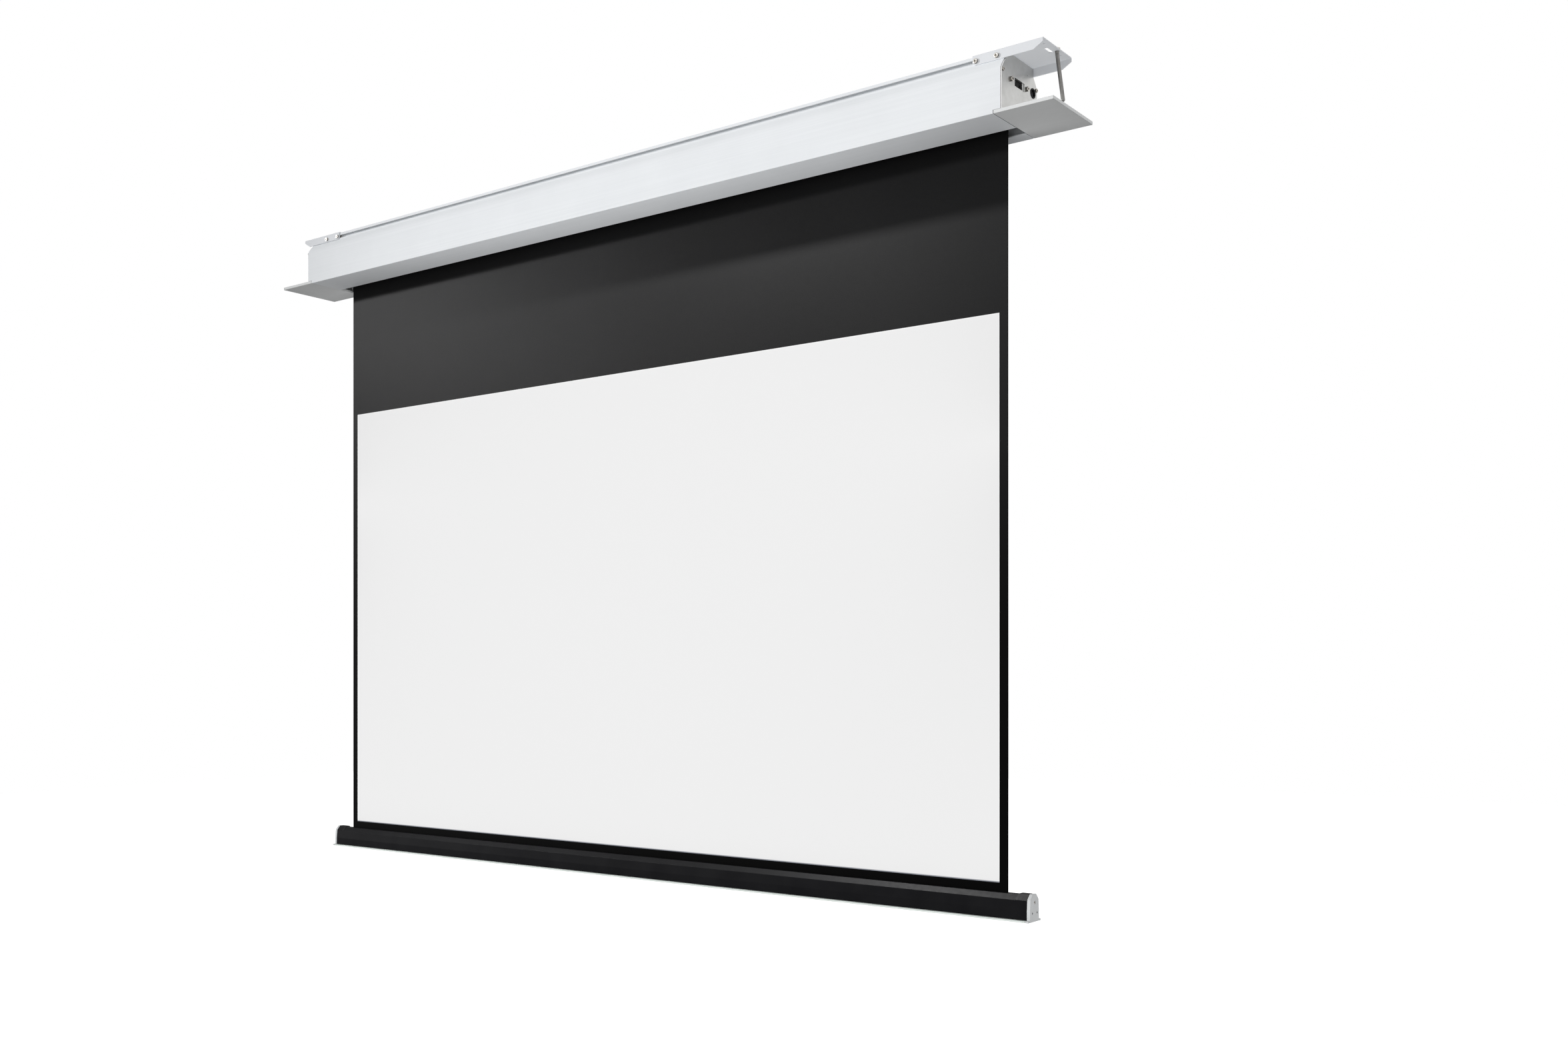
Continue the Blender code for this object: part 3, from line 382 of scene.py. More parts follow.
def turned_mesh(profile, steps=ROUND, closed=False):
    """A turned piece about Z from (radius, height, hexagonal) points."""
    work = bmesh.new()
    rings = []
    for radius, height, *hexagonal in profile:
        if radius < 1e-7:
            rings.append([work.verts.new((0, 0, height))])
            continue
        ring = []
        for step in range(steps):
            turn = 2 * math.pi * step / steps
            reach = radius
            if hexagonal:
                reach *= math.cos(math.pi / 6) / math.cos(turn % (math.pi / 3) - math.pi / 6)
            point = (reach * math.cos(turn), reach * math.sin(turn), height)
            ring.append(work.verts.new(point))
        rings.append(ring)
    if closed:
        rings.append(rings[0])
    for first, second in zip(rings, rings[1:]):
        for step in range(steps):
            corners = [first[0]] if len(first) == 1 else [first[step - 1], first[step]]
            corners += [second[0]] if len(second) == 1 else [second[step], second[step - 1]]
            work.faces.new(corners)
    return finished(work)


def arc(across, up, radius, start, end, steps):
    """Points of an arc between two angles in degrees."""
    turns = [math.radians(start + (end - start) * step / steps) for step in range(steps + 1)]
    return [(across + radius * math.cos(turn), up + radius * math.sin(turn)) for turn in turns]


def cut(mesh, *cutters):
    """A mesh with other meshes cut out of it."""
    maker = bpy.data.objects.new("cut", mesh)
    tools = []
    for cutter in cutters:
        tool = bpy.data.objects.new("cutter", cutter)
        MAKING.objects.link(tool)
        tool.hide_render = True
        step = maker.modifiers.new("cut", "BOOLEAN")
        step.operation = "DIFFERENCE"
        step.solver = "EXACT"
        step.object = tool
        tools.append(tool)
    made = evaluated(maker)
    for tool in tools:
        bpy.data.objects.remove(tool)
    return made


def softened(mesh, width):
    """A mesh with its sharp edges rounded."""
    maker = bpy.data.objects.new("soft", mesh)
    step = maker.modifiers.new("soft", "BEVEL")
    step.width = width
    step.segments = 2
    step.limit_method = "ANGLE"
    step.angle_limit = math.radians(50)
    step.use_clamp_overlap = True
    return evaluated(maker)


def piece(name, mesh, material, body, node, sharp=SHARP):
    """A piece of the object that rides on a body and stands for a CAD node."""
    made = bpy.data.objects.new(name, mesh)
    mesh.materials.clear()
    mesh.materials.append(material)
    mesh.shade_smooth()
    mesh.set_sharp_from_angle(angle=sharp)
    PIECES.objects.link(made)
    normals = made.modifiers.new("normals", "WEIGHTED_NORMAL")
    normals.keep_sharp = True
    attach(made, body)
    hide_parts(node)
    return made


# -------- materials


class Recipe:
    """A Principled material and its nodes, with patterns and relief in metres."""

    def __init__(self, name, roughness, metallic=0.0, specular=0.5):
        self.material = bpy.data.materials.new(name)
        self.material.use_nodes = True
        self.tree = self.material.node_tree
        self.shader = self.tree.nodes["Principled BSDF"]
        self.shader.inputs["Roughness"].default_value = roughness
        self.shader.inputs["Metallic"].default_value = metallic
        self.shader.inputs["Specular IOR Level"].default_value = specular
        self.place = self.node("ShaderNodeTexCoord").outputs["Object"]
        self.height = None

    def node(self, kind, **settings):
        made = self.tree.nodes.new(kind)
        for key, value in settings.items():
            setattr(made, key, value)
        return made

    def link(self, source, target):
        self.tree.links.new(source, target)

    def scaled(self, scale):
        """Coordinates multiplied along each axis."""
        mapping = self.node("ShaderNodeMapping")
        mapping.inputs["Scale"].default_value = scale
        self.link(self.place, mapping.inputs["Vector"])
        return mapping.outputs["Vector"]

    def noise(self, scale, detail, stretch=(1, 1, 1), rough=0.5):
        """Noise with about scale waves in a metre, times a factor along each axis."""
        made = self.node("ShaderNodeTexNoise")
        made.inputs["Scale"].default_value = scale
        made.inputs["Detail"].default_value = detail
        made.inputs["Roughness"].default_value = rough
        self.link(self.scaled(stretch), made.inputs["Vector"])
        return made.outputs["Fac"]

    def wave(self, period, direction):
        """Threads with a period in metres, slightly uneven."""
        made = self.node("ShaderNodeTexWave", wave_type="BANDS", bands_direction=direction)
        made.inputs["Scale"].default_value = math.pi / 10 / period
        made.inputs["Distortion"].default_value = 0.4
        made.inputs["Detail"].default_value = 1.0
        self.link(self.place, made.inputs["Vector"])
        return made.outputs["Fac"]

    def along(self, axis):
        """The place along an axis."""
        split = self.node("ShaderNodeSeparateXYZ")
        self.link(self.place, split.inputs["Vector"])
        return split.outputs[axis]

    def math(self, operation, first, second=0.0):
        made = self.node("ShaderNodeMath", operation=operation)
        for socket, value in zip(made.inputs, (first, second)):
            if isinstance(value, (int, float)):
                socket.default_value = value
            else:
                self.link(value, socket)
        return made.outputs[0]

    def summed(self, first, second, share):
        """A share of the first output and the rest of the second."""
        first = self.math("MULTIPLY", first, share)
        return self.math("ADD", first, self.math("MULTIPLY", second, 1 - share))

    def ranged(self, source, low, high, to_low=0.0, to_high=1.0, smooth=False):
        """An output that is mapped from one range to another."""
        made = self.node("ShaderNodeMapRange")
        made.interpolation_type = "SMOOTHSTEP" if smooth else "LINEAR"
        self.link(source, made.inputs["Value"])
        keys = ("From Min", "From Max", "To Min", "To Max")
        for key, value in zip(keys, (low, high, to_low, to_high)):
            made.inputs[key].default_value = value
        return made.outputs["Result"]

    def mixed(self, share, first, second):
        """Two colours, or colour outputs, by a share."""
        made = self.node("ShaderNodeMix", data_type="RGBA")
        self.link(share, made.inputs["Factor"])
        for socket, value in zip((made.inputs[6], made.inputs[7]), (first, second)):
            if isinstance(value, tuple):
                socket.default_value = (*value, 1.0)
            else:
                self.link(value, socket)
        return made.outputs[2]

    def colour(self, source):
        self.link(source, self.shader.inputs["Base Color"])

    def roughness(self, scale, detail, low, high):
        """A roughness that varies with noise between two values."""
        source = self.ranged(self.noise(scale, detail), 0.3, 0.7, low, high)
        self.link(source, self.shader.inputs["Roughness"])

    def bump(self, height, distance, strength):
        """Relief of a height from 0 to 1, as deep as distance."""
        made = self.node("ShaderNodeBump")
        made.inputs["Strength"].default_value = strength
        made.inputs["Distance"].default_value = distance
        self.link(height, made.inputs["Height"])
        if self.height:
            self.link(self.height, made.inputs["Normal"])
        self.height = made.outputs["Normal"]
        self.link(self.height, self.shader.inputs["Normal"])


def powder_coat(name, dark, light, roughness, streak=0.0):
    """White powder coat: orange peel, faint mottling and die lines along X."""
    made = Recipe(name, roughness, specular=0.004)
    cloudy = made.noise(6, 4)
    grain = made.noise(900, 2)
    share = made.summed(cloudy, grain, 0.7)
    if streak:
        lines = made.math("SUBTRACT", made.noise(1, 3, (2, 260, 260)), 0.5)
        share = made.math("ADD", share, made.math("MULTIPLY", lines, streak))
    made.colour(made.mixed(made.ranged(share, 0.3, 0.7), dark, light))
    made.roughness(60, 3, roughness - 0.05, roughness + 0.07)
    made.bump(grain, 0.00003, 0.5)
    made.bump(made.noise(260, 1), 0.00006, 0.35)
    return made.material


def sheet_metal(name, dark, light, roughness, brush=(1, 1, 1)):
    """Bare metal: soft cloudy patches, fine brushing and small specks."""
    made = Recipe(name, roughness, metallic=1.0)
    cloudy = made.noise(38, 5, rough=0.6)
    brushed = made.noise(420, 3, brush)
    share = made.summed(cloudy, brushed, 0.75)
    made.colour(made.mixed(made.ranged(share, 0.32, 0.68), dark, light))
    made.roughness(90, 4, roughness - 0.08, roughness + 0.10)
    made.bump(brushed, 0.00002, 0.5)
    return made.material


def dark_paint(name, dark, light, roughness, specular):
    """Black satin paint with a fine leathery grain."""
    made = Recipe(name, roughness, specular=specular)
    made.colour(made.mixed(made.ranged(made.noise(14, 4), 0.3, 0.7), dark, light))
    made.roughness(130, 3, roughness - 0.015, roughness + 0.02)
    made.bump(made.noise(1400, 2), 0.00002, 0.5)
    return made.material


def moulded(name, dark, light, roughness, specular):
    """Moulded plastic with a spark-eroded grain."""
    made = Recipe(name, roughness, specular=specular)
    made.colour(made.mixed(made.ranged(made.noise(25, 3), 0.3, 0.7), dark, light))
    made.roughness(300, 2, roughness - 0.05, roughness + 0.05)
    made.bump(made.noise(1800, 1), 0.00002, 0.6)
    return made.material


WHITE = powder_coat("housing_white", (0.76, 0.78, 0.80), (0.81, 0.83, 0.85), 0.42, 0.5)
BRACKET_WHITE = powder_coat("bracket_white", (0.72, 0.735, 0.76), (0.76, 0.775, 0.80), 0.38)
# The trim boards' white is a little darker than the housing's, though it is the same paint:
# painted shade for their shaded undersides
TRIM_WHITE_PAINTED_SHADE = powder_coat("trim_white_painted_shade", (0.70, 0.71, 0.71), (0.76, 0.77, 0.77), 0.45, 0.3)
BARE_STEEL = sheet_metal(
    "bare_sheet", (0.55, 0.55, 0.535), (0.62, 0.62, 0.61), 0.38, (1, 8, 0.4)
)
DARK_STEEL = sheet_metal(
    "dark_steel", (0.15, 0.145, 0.14), (0.27, 0.265, 0.255), 0.38, (6, 6, 0.3)
)
NICKEL = sheet_metal("nickel", (0.46, 0.43, 0.39), (0.66, 0.63, 0.585), 0.28)
# Much darker nickel on the screws' sides: painted shade, standing for the dark surroundings that
# the sides reflect
SCREW_SIDE_PAINTED_SHADE = sheet_metal("screw_side_painted_shade", (0.12, 0.112, 0.10), (0.30, 0.285, 0.26), 0.36)
CUT_ALUMINIUM = sheet_metal(
    "cut_aluminium", (0.84, 0.84, 0.85), (0.92, 0.92, 0.93), 0.50, (1, 3, 3)
)
# Sheared plate edges, brighter than the plate's steel: partly bare cut metal, partly painted
# highlight
SHEARED_EDGE_PAINTED_HIGHLIGHT = sheet_metal(
    "sheared_edge_painted_highlight", (0.80, 0.80, 0.79), (0.90, 0.90, 0.89), 0.50, (6, 1, 1)
)
MILL_ALUMINIUM = sheet_metal(
    "mill_aluminium", (0.62, 0.63, 0.64), (0.76, 0.77, 0.78), 0.36, (0.4, 8, 8)
)
BAR_BLACK = dark_paint(
    "bar_black", (0.0065, 0.0065, 0.0075), (0.010, 0.010, 0.011), 0.40, 0.012
)
PALE_PLASTIC = moulded("pale_plastic", (0.61, 0.625, 0.63), (0.67, 0.685, 0.69), 0.42, 0.02)
STRIP_PLASTIC = moulded("strip_plastic", (0.69, 0.745, 0.71), (0.78, 0.83, 0.80), 0.40, 0.02)
BLACK_PLASTIC = moulded(
    "black_plastic", (0.010, 0.010, 0.011), (0.018, 0.018, 0.019), 0.48, 0.05
)


def cloth_material():
    """Black coated cloth with a woven grain. Its base colour darkens smoothly downwards: partly a
    greyer drop, partly painted sheen fading into painted shade.
    """
    made = Recipe("black_cloth", 0.5, specular=0.01)
    # Painted sheen and shade: the base colour fades from the lighter top tone to the darker bottom
    # tone downwards
    painted_sheen_fade = made.ranged(made.along("Z"), IMAGE_LOW.z + 0.52, IMAGE_HIGH.z, smooth=True)
    grain = made.noise(420, 3, rough=0.7)
    cloudy = made.noise(2.2, 3)
    share = made.ranged(made.summed(cloudy, grain, 0.45), 0.33, 0.67)
    top_tone = made.mixed(share, (0.0085, 0.0085, 0.0087), (0.0130, 0.0130, 0.0134))
    bottom_tone = made.mixed(share, (0.0008, 0.0008, 0.0008), (0.0016, 0.0016, 0.0016))
    made.colour(made.mixed(painted_sheen_fade, bottom_tone, top_tone))
    threads = made.math("MULTIPLY", made.wave(0.0009, "X"), made.wave(0.0009, "Z"))
    made.bump(threads, 0.00008, 0.5)
    made.bump(grain, 0.00010, 0.4)
    return made.material


def image_material():
    """Matt white image coating: a fine even grain, and a slightly brighter rim."""
    made = Recipe("white_image", 0.92, specular=0.002)
    grain = made.noise(1500, 2)
    rim = None
    for axis, low, high in (("X", IMAGE_LOW.x, IMAGE_HIGH.x), ("Z", IMAGE_LOW.z, IMAGE_HIGH.z)):
        value = made.along(axis)
        for edge, inward in ((low, 1), (high, -1)):
            near = made.ranged(value, edge, edge + inward * 0.004, 1.0, 0.0)
            rim = near if rim is None else made.math("MAXIMUM", rim, near)
    plain = made.mixed(grain, (0.855, 0.855, 0.855), (0.870, 0.870, 0.870))
    coated = made.mixed(rim, plain, (0.93, 0.93, 0.93))
    foot = made.ranged(made.along("Z"), IMAGE_LOW.z + 0.0012, IMAGE_LOW.z + 0.0036, 1.0, 0.0)
    made.colour(made.mixed(foot, coated, (0.20, 0.21, 0.24)))
    made.bump(grain, 0.00002, 0.4)
    return made.material


BLACK_CLOTH = cloth_material()
WHITE_IMAGE = image_material()


# -------- housing and its ends


def housing_outline():
    """The housing's cross-section, once round."""
    lip = -HALF_NECK + WALL
    back = -HALF_NECK + GROOVE_BACK
    low, high = GROOVE_BOTTOM - UNDERCUT, GROOVE_TOP + UNDERCUT
    outside = [
        (-HALF_BODY, CREASE, CREASE_RADIUS),
        (-HALF_NECK, NECK_FOOT, 0.0025),
        (-HALF_NECK, GROOVE_BOTTOM, 0.0007),
        (lip, GROOVE_BOTTOM, 0.0004),
        (lip, low, 0.0004),
        (back, low, 0.0006),
        (back, high, 0.0006),
        (lip, high, 0.0004),
        (lip, GROOVE_TOP, 0.0004),
        (-HALF_NECK, GROOVE_TOP, 0.0007),
        (-HALF_NECK, 0, 0.0010),
    ]
    lean = math.atan2(HALF_BODY - HALF_NECK, NECK_FOOT - CREASE)
    inner_crease = CREASE - WALL * math.tan(lean / 2)
    chamber = back + WALL
    shelf = NECK_FOOT - WALL
    shelf_y = -HALF_BODY + WALL + (shelf - inner_crease) * math.tan(lean)
    inside = [
        (chamber, -WALL, 0.001),
        (chamber, shelf, 0.001),
        (shelf_y, shelf, 0.001),
        (-HALF_BODY + WALL, inner_crease, CREASE_RADIUS - WALL),
    ]
    sill = UNDERSIDE + WALL
    rear_foot = [
        (HALF_BODY, sill, 0.0015),
        (HALF_BODY + REAR_FLANGE, sill, 0.0008),
        (HALF_BODY + REAR_FLANGE, UNDERSIDE, 0.0008),
        (SLOT_REAR, UNDERSIDE, 0.0008),
        (SLOT_REAR, sill, 0.0006),
        (HALF_BODY - WALL, sill, 0.001),
    ]
    front_foot = [
        (-HALF_BODY + WALL, sill, 0.001),
        (SLOT_FRONT - WALL, sill, 0.001),
        (SLOT_FRONT - WALL, UNDERSIDE + UPTURN, 0.0006),
        (SLOT_FRONT, UNDERSIDE + UPTURN, 0.0006),
        (SLOT_FRONT, UNDERSIDE, 0.0010),
        (-HALF_BODY, UNDERSIDE, 0.0012),
    ]
    return rounded(
        outside + mirrored(outside) + rear_foot + mirrored(inside) + inside + front_foot
    )


def make_housing():
    """The long extrusion, with room cut at the foot of both ends for the trim boards."""
    mesh = profile_mesh([housing_outline()], -HOUSING_END, HOUSING_END, CUT_EDGE)
    notches = []
    for side in (-1, 1):
        near, far = sorted((side * SEAM, side * 1.3))
        notches.append(box_mesh((near, -0.12, UNDERSIDE - 0.01), (far, 0.14, PLATE_FOOT)))
    mesh = cut(mesh, *notches)
    shell = piece(
        "housing_shell", mesh, WHITE, "housing", "housing_extrusion"
    )
    shell.data.materials.append(CUT_ALUMINIUM)
    for face in shell.data.polygons:
        at_end = abs(face.center.x) > HOUSING_END - 0.0001
        face.material_index = int(at_end and abs(face.normal.x) > 0.9)


def plate_outline():
    """An end plate's rim."""
    front = [
        (-HALF_BODY + PLATE_INSET, PLATE_FOOT, 0.0008),
        (-HALF_BODY + PLATE_INSET, CREASE, CREASE_RADIUS - PLATE_INSET),
        (-HALF_NECK + PLATE_INSET, NECK_FOOT, 0.0015),
        (-HALF_NECK + PLATE_INSET, -PLATE_INSET, 0.0015),
    ]
    return rounded(front + mirrored(front), 6)


def make_end_plates():
    """Bare end plates whose sheared edges are brighter than the plate: partly bare cut steel,
    partly painted highlight. The right one has its holes.
    """
    window = rectangle(FIXING_Y, FIXING_Z, *WINDOW)
    right = [plate_outline(), window, circle(*CABLE_HOLE, 48), circle(*PILOT_HOLE, 16)]
    for side, name, outlines in ((1, "right", right), (-1, "left", [plate_outline()])):
        mesh = profile_mesh(outlines, side * PLATE_INNER, side * PLATE_OUTER, PLATE_EDGE)
        plate = piece(
            f"plate_{name}", mesh, BARE_STEEL, "housing", f"end_plate_{name}"
        )
        plate.data.materials.append(SHEARED_EDGE_PAINTED_HIGHLIGHT)
        for face in plate.data.polygons:
            face.material_index = int(abs(face.normal.x) < 0.5)


def make_grommet():
    """The rimmed bush in the cable hole, with a rounded rim."""
    across, up, hole = CABLE_HOLE
    neck = hole - GAP
    bore = neck - GROMMET_WALL
    foot = PLATE_OUTER + GAP
    outer = foot + GROMMET_RIM
    inner = PLATE_INNER - GROMMET_RIM
    profile = [
        (hole + GROMMET_RIM, foot),
        (neck, foot),
        (neck, inner),
        (bore, inner),
        (bore, outer - 0.0008),
        (bore + 0.0003, outer - 0.0002),
        (bore + 0.0008, outer),
        (hole + 0.0004, outer),
        (hole + 0.0009, outer - 0.0003),
    ]
    mesh = turned_mesh(profile, closed=True)
    mesh.transform(Matrix.Translation((0, across, up)) @ ALONG_X)
    piece("grommet", mesh, BLACK_PLASTIC, "housing", "cable_grommet")


def make_trim(side, name):
    """A trim board with soft edges and two small joints in its end edge."""
    low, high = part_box(f"trim_plate_{name}")
    top = UNDERSIDE + TRIM
    inner = side * (SEAM + TRIM_GAP)
    outer = high.x if side > 0 else low.x
    near, far = sorted((inner, outer))
    mesh = box_mesh((near, low.y, UNDERSIDE), (far, high.y, top), TRIM_EDGE)
    joints = []
    for share in TRIM_JOINT_SHARES:
        y = low.y + (high.y - low.y) * share
        near, far = sorted((outer - side * TRIM_JOINT_DEPTH, outer + side * 0.002))
        corner = (near, y - TRIM_JOINT / 2, UNDERSIDE - 0.01)
        joints.append(box_mesh(corner, (far, y + TRIM_JOINT / 2, top + 0.01)))
    mesh = cut(mesh, *joints)
    node = f"trim_plate_{name}"
    piece(f"trim_{name}", mesh, TRIM_WHITE_PAINTED_SHADE, "housing", node)


# -------- brackets, rod, screws


def bracket_outline():
    """A bracket's cross-section: the web over the neck and a flange on each side."""
    inner = HALF_NECK + GAP
    front = [
        (-inner, GAP, 0.001),
        (-inner, FLANGE_FOOT, 0.0005),
        (-FLANGE_OUTER, FLANGE_FOOT, 0.0005),
        (-FLANGE_OUTER, WEB_TOP, 0.0035),
    ]
    return rounded(front + mirrored(front), 7)


def end_cut(side, end, length, height):
    """A cutter that takes the lower corner off both flanges."""
    start = end - side * length
    beyond = end + side * 0.02
    corner = [
        (start, FLANGE_FOOT, 0.002),
        (end, FLANGE_FOOT + height, 0.002),
        (beyond, FLANGE_FOOT + height, 0),
        (beyond, FLANGE_FOOT - 0.02, 0),
        (start - side * 0.01, FLANGE_FOOT - 0.02, 0),
        (start - side * 0.01, FLANGE_FOOT, 0),
    ]
    mesh = plate_mesh([rounded(corner)], 0.2, 0.0)
    mesh.transform(ALONG_Y)
    return mesh


def upright(outline):
    """A cutter through a bracket's web."""
    mesh = plate_mesh([outline], 0.02, 0.0)
    mesh.transform(Matrix.Translation((0, 0, WEB_TOP)))
    return mesh


def make_bracket(side, name):
    """A folded bracket with a slotted hole, two small holes and cut-off flange corners."""
    low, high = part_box(f"bracket_{name}")
    inner, outer = (low.x, high.x) if side > 0 else (high.x, low.x)
    mesh = profile_mesh([bracket_outline()], inner, outer, SHEET_EDGE)
    slot_x = outer - side * SLOT_X
    slot = arc(slot_x, SLOT_REACH, SLOT_RADIUS, 0, 180, 12)
    slot += arc(slot_x, -SLOT_REACH, SLOT_RADIUS, 180, 360, 12)
    cutters = [upright(slot)]
    for y in (-SMALL_HOLE_Y, SMALL_HOLE_Y):
        hole = circle(outer - side * SMALL_HOLE_X, y, SMALL_HOLE_RADIUS, 20)
        cutters.append(upright(hole))
    cutters += [end_cut(side, outer, *OUTER_CHAMFER), end_cut(-side, inner, *INNER_CHAMFER)]
    if side > 0:
        cutters.append(upright(circle(ROD_X, ROD_Y, ROD_HOLE_RADIUS, 24)))
    mesh = softened(cut(mesh, *cutters), SHEET_EDGE)
    body, node = f"bracket_{name}_set", f"bracket_{name}"
    piece(f"hanger_{name}", mesh, BRACKET_WHITE, body, node)


def tube_mesh(path, radius_at, sides):
    """A round bar along a path of points; radius_at takes the length run and the turn."""
    work = bmesh.new()
    rings = []
    run = 0.0
    for index, point in enumerate(path):
        before = path[max(index - 1, 0)]
        after = path[min(index + 1, len(path) - 1)]
        run += (point - before).length
        direction = (after - before).normalized()
        across = direction.cross(Vector((0, 1, 0))).normalized()
        other = direction.cross(across)
        ring = []
        for step in range(sides):
            turn = 2 * math.pi * step / sides
            way = across * math.cos(turn) + other * math.sin(turn)
            ring.append(work.verts.new(point + way * radius_at(run, turn)))
        rings.append(ring)
    for first, second in zip(rings, rings[1:]):
        for step in range(sides):
            work.faces.new((first[step - 1], first[step], second[step], second[step - 1]))
    work.faces.new(rings[0][::-1])
    work.faces.new(rings[-1])
    return finished(work)


def make_rod():
    """The stay rod: a threaded top, a plain leaning shank and a rounded foot above the trim."""
    upper = (ROD_NECK - ROD_TOP).length
    total = upper + (ROD_FOOT - ROD_NECK).length
    path = []
    run = 0.0
    while run < total - 1e-6:
        if run < upper:
            path.append(ROD_TOP.lerp(ROD_NECK, run / upper))
        else:
            path.append(ROD_NECK.lerp(ROD_FOOT, (run - upper) / (total - upper)))
        fine = run < THREAD_LENGTH or run > total - ROD_STEP
        run += THREAD_PITCH / 6 if fine else ROD_STEP
    path.append(ROD_FOOT)

    def radius_at(run, turn):
        reach = ROD_RADIUS
        if run < THREAD_LENGTH:
            phase = (run / THREAD_PITCH + turn / (2 * math.pi)) % 1
            reach -= THREAD_DEPTH * abs(2 * phase - 1)
            reach -= max(0.0, THREAD_START - run) * 0.8
        left = total - run
        if left < FOOT_RADIUS:
            reach -= FOOT_RADIUS - math.sqrt(max(0.0, FOOT_RADIUS**2 - (FOOT_RADIUS - left) ** 2))
        return max(reach, 0.0004)

    body = "bracket_right_set"
    mesh = tube_mesh(path, radius_at, 28)
    sharp = math.radians(60)
    piece("stay_bar", mesh, DARK_STEEL, body, "stay_rod", sharp=sharp)
    nut_low, nut_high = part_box("stay_rod_nut")
    height = nut_high.z - nut_low.z
    bore = ROD_RADIUS + GAP
    profile = [
        (bore, 0),
        (NUT_RADIUS * 0.86, 0, 1),
        (NUT_RADIUS, 0.0007, 1),
        (NUT_RADIUS, height - 0.0007, 1),
        (NUT_RADIUS * 0.86, height, 1),
        (bore, height),
    ]
    mesh = turned_mesh(profile, closed=True)
    mesh.transform(Matrix.Translation((ROD_TOP.x, ROD_TOP.y, nut_low.z)))
    piece("stay_nut", mesh, NICKEL, body, "stay_rod_nut")


def screw_mesh(head, height, shank, length):
    """A socket screw: rounded head, hexagonal socket, plain shank, its seat at zero."""
    soft = 0.28 * min(head, height)
    depth = 0.6 * min(head, height)
    socket = 0.5 * head
    profile = [
        (0, height - depth - 0.0003),
        (socket * 0.98, height - depth, 1),
        (socket, height - 0.0002, 1),
        (socket * 1.12, height),
        *[(head - soft + a, height - soft + b) for a, b in arc(0, 0, soft, 90, 0, 4)],
        (head, 0.0002),
        (head - 0.0002, 0),
        (shank, 0),
        (shank, -length),
        (0, -length),
    ]
    return turned_mesh(profile, SCREW_ROUND)


def place_screws():
    """The visible screws, each where its CAD node is."""
    screws = []
    for end, side in (("right", 1), ("left", -1)):
        out = (side, 0, 0)
        for row, back in (("front", -1), ("rear", 1)):
            screws += [
                (f"{end}_plate_{row}_screw", "housing", out, PLATE_SCREW, NICKEL),
                (f"{end}_fixing_{row}_screw", "housing", out, FIXING_SCREW, NICKEL),
                (f"bar_cap_screw_{end}_{row}", "weight_bar", out, CAP_SCREW, DARK_STEEL),
            ]
            for number in (1, 2):
                node = f"bracket_screw_{end}_{row}_{number}"
                screws.append((node, f"bracket_{end}_set", (0, back, 0), BRACKET_SCREW, NICKEL))
        screws.append((f"bar_cap_screw_{end}_top", "weight_bar", out, CAP_TOP_SCREW, NICKEL))
    for node, body, way, (head, height, shank), metal in screws:
        low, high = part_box(node)
        axis = 0 if way[0] else 1
        direction = Vector(way)
        middle = (low + high) / 2
        tip = max(low[axis] * way[axis], high[axis] * way[axis])
        mesh = screw_mesh(head, height, shank, high[axis] - low[axis] - height)
        seat = middle - direction * middle.dot(direction) + direction * (tip - height)
        turn = Vector((0, 0, 1)).rotation_difference(direction).to_matrix().to_4x4()
        mesh.transform(Matrix.Translation(seat) @ turn)
        screw = piece(f"fine_{node}", mesh, metal, body, node)
        # The sides take the darker nickel: painted shade
        if metal is NICKEL:
            screw.data.materials.append(SCREW_SIDE_PAINTED_SHADE)
            for face in screw.data.polygons:
                face.material_index = int(abs(face.normal.dot(direction)) < 0.3)


# -------- cloth


def lie(x, z):
    """How far the hanging cloth stands off its plane, half a millimetre at the most."""
    share = (z - CLOTH_LOW.z) / (CLOTH_HIGH.z - CLOTH_LOW.z)
    hold = math.sin(math.pi * min(max(share, 0.0), 1.0)) ** 0.5
    swell = math.sin(4.1 * x + 0.6) * math.cos(1.9 * z) + 0.6 * math.sin(2.3 * x - 3.1 * z)
    return CLOTH_WAVE * hold * swell


def sheet_mesh(x_low, x_high, z_low, z_high, front, thickness, up):
    """A closed thin sheet, up quads high, that follows the cloth's gentle waves."""
    across = CLOTH_COLUMNS
    work = bmesh.new()
    grid = []
    for layer in (0, 1):
        rows = []
        for j in range(up + 1):
            z = z_low + (z_high - z_low) * j / up
            row = []
            for i in range(across + 1):
                x = x_low + (x_high - x_low) * i / across
                row.append(work.verts.new((x, front + layer * thickness + lie(x, z), z)))
            rows.append(row)
        grid.append(rows)
    for layer, rows in enumerate(grid):
        for j in range(up):
            for i in range(across):
                corners = [rows[j][i], rows[j][i + 1], rows[j + 1][i + 1], rows[j + 1][i]]
                work.faces.new(corners if layer == 0 else corners[::-1])
    rims = [
        rows[0]
        + [row[-1] for row in rows[1:]]
        + rows[-1][-2::-1]
        + [row[0] for row in rows[-2:0:-1]]
        for rows in grid
    ]
    for index in range(len(rims[0])):
        edge = [rims[layer][index - step] for layer, step in ((0, 1), (1, 1), (1, 0), (0, 0))]
        work.faces.new(edge)
    return finished(work)


def wound_outline():
    """The spiral of the turns that stay on the roller."""
    lines = []
    for lift in (0, TURN_THICKNESS):
        line = []
        for step in range(TURNS * TURN_STEPS + 1):
            turn = 2 * math.pi * step / TURN_STEPS
            reach = ROLLER_RADIUS + GAP + (step / TURN_STEPS) * TURN_PITCH + lift
            line.append((ROLLER_Y + reach * math.cos(turn), ROLLER_Z + reach * math.sin(turn)))
        lines.append(line)
    return lines[0] + lines[1][::-1]


